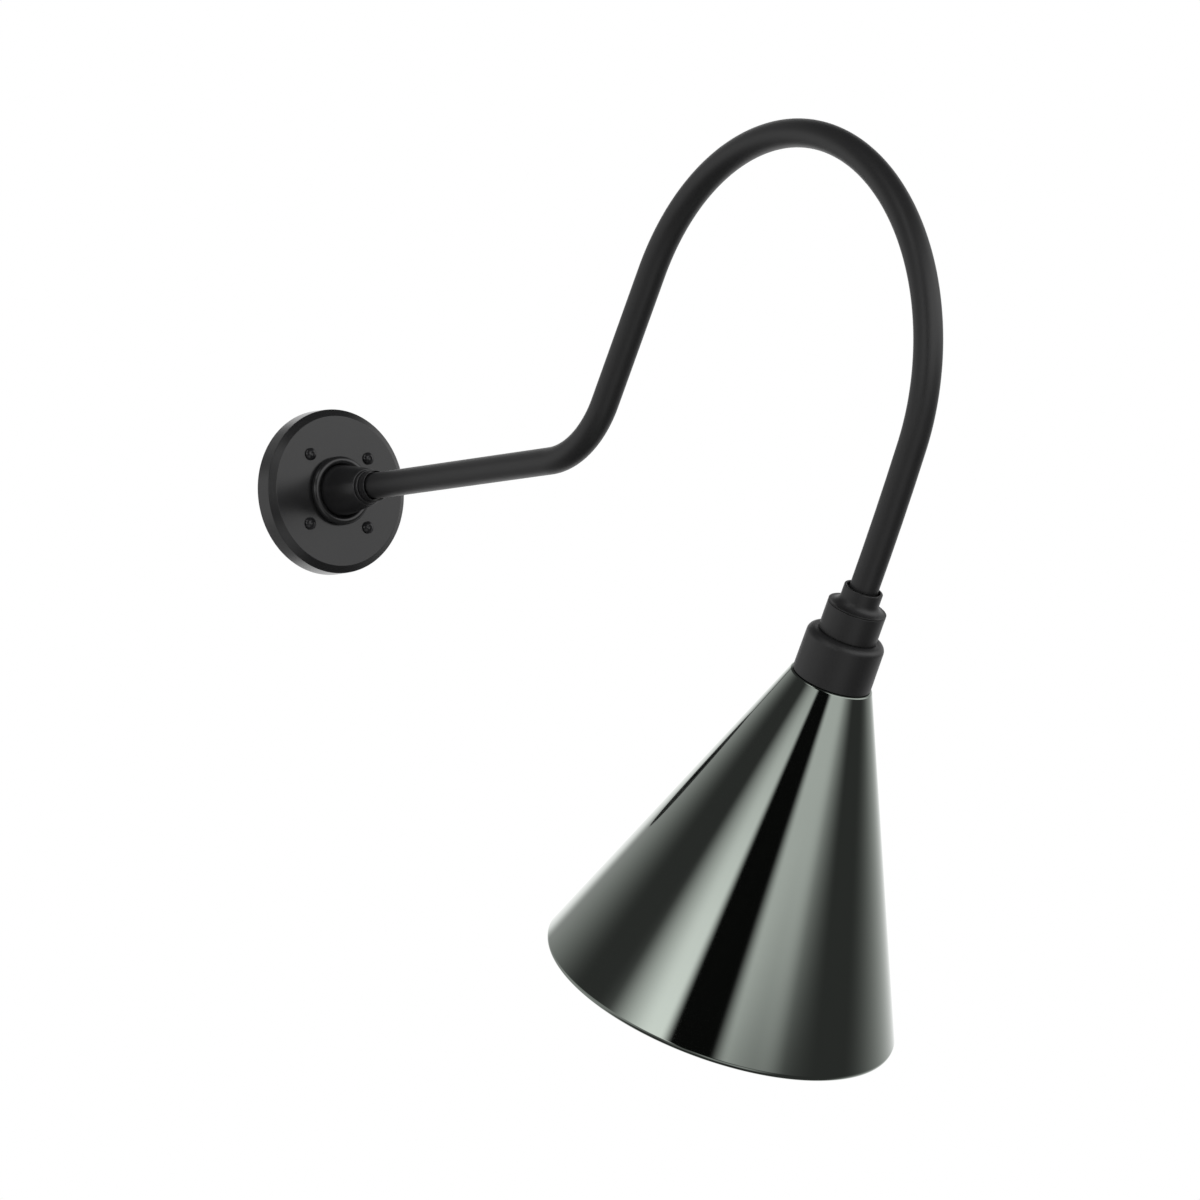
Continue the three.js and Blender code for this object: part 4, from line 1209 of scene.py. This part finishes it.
tube_outlines = [circle(TUBE_RADIUS, TUBE_SIDES), circle(TUBE_RADIUS - TUBE_WALL, TUBE_SIDES)]
tube = swept(arm_stations(HUB_STOP + GAP, ARM_END), tube_outlines)
piece("gooseneck_arm", tube, WORLD, "black_coat")
for name, finish, shift in (
    ("line_lead", "black_lead", -LEAD_OFFSET),
    ("neutral_lead", "white_lead", LEAD_OFFSET),
):
    lead = swept(arm_stations(LEAD_START, LEAD_END, shift), [circle(LEAD_RADIUS, LEAD_SIDES)])
    piece(name, lead, WORLD, finish)

# The lamp head

bushing = washer(NIPPLE_HOLE, TUBE_RADIUS - TUBE_WALL - GAP, -ARM_END, BUSHING_LENGTH - ARM_END)
piece("arm_end_bushing", bushing, HEAD, "zinc_steel")
piece("neck_cup", neck_shape(), HEAD, "black_coat")
piece("spacer_cap", spacer_shape(), HEAD, "black_coat")
piece("shade_holder", holder_shape(), HEAD, "black_coat")
nipple = washer(NIPPLE_BORE, NIPPLE_RADIUS, -NIPPLE_END, NIPPLE_REACH - ARM_END)
piece("threaded_nipple", nipple, HEAD, "zinc_steel")
piece("socket_strap", strap_shape(), HEAD, "zinc_steel")
nipple_washer = washer(
    NIPPLE_HOLE, NIPPLE_HOLE + NIPPLE_WASHER_WIDTH,
    -WASHER_START - NIPPLE_WASHER_THICKNESS, -WASHER_START,
)
piece("nipple_washer", nipple_washer, HEAD, "zinc_steel")
nipple_nut = hex_nut(NIPPLE_NUT_FLATS, NIPPLE_HOLE, -NUT_START - NIPPLE_NUT_THICKNESS, -NUT_START)
piece("nipple_lock_nut", nipple_nut, HEAD, "zinc_steel")
piece("lamp_socket", socket_shape(), HEAD, "porcelain")
piece("socket_screw_left", socket_screw_shape(-1), HEAD, "zinc_steel")
piece("socket_screw_right", socket_screw_shape(1), HEAD, "zinc_steel")
piece("screw_shell", screw_shell_shape(), HEAD, "shell_brass")
piece("centre_contact", contact_shape(), HEAD, "shell_brass")
piece("shade_ring", ring_shape(), HEAD, "zinc_steel")

outline, outside_points = shade_outline()
shade = piece("cone_shade", turned(outline, SHADE_SIDES), HEAD, "black_nickel")
shade.data.materials.append(MATERIALS["shade_inside"])
inside = range((outside_points - 1) * SHADE_SIDES, (len(outline) - 1) * SHADE_SIDES)
for polygon in shade.data.polygons:
    if polygon.index in inside:
        polygon.material_index = 1

add_camera()
add_world()
add_overhead()
add_floor()
bpy.context.scene.view_settings.view_transform = "Standard"
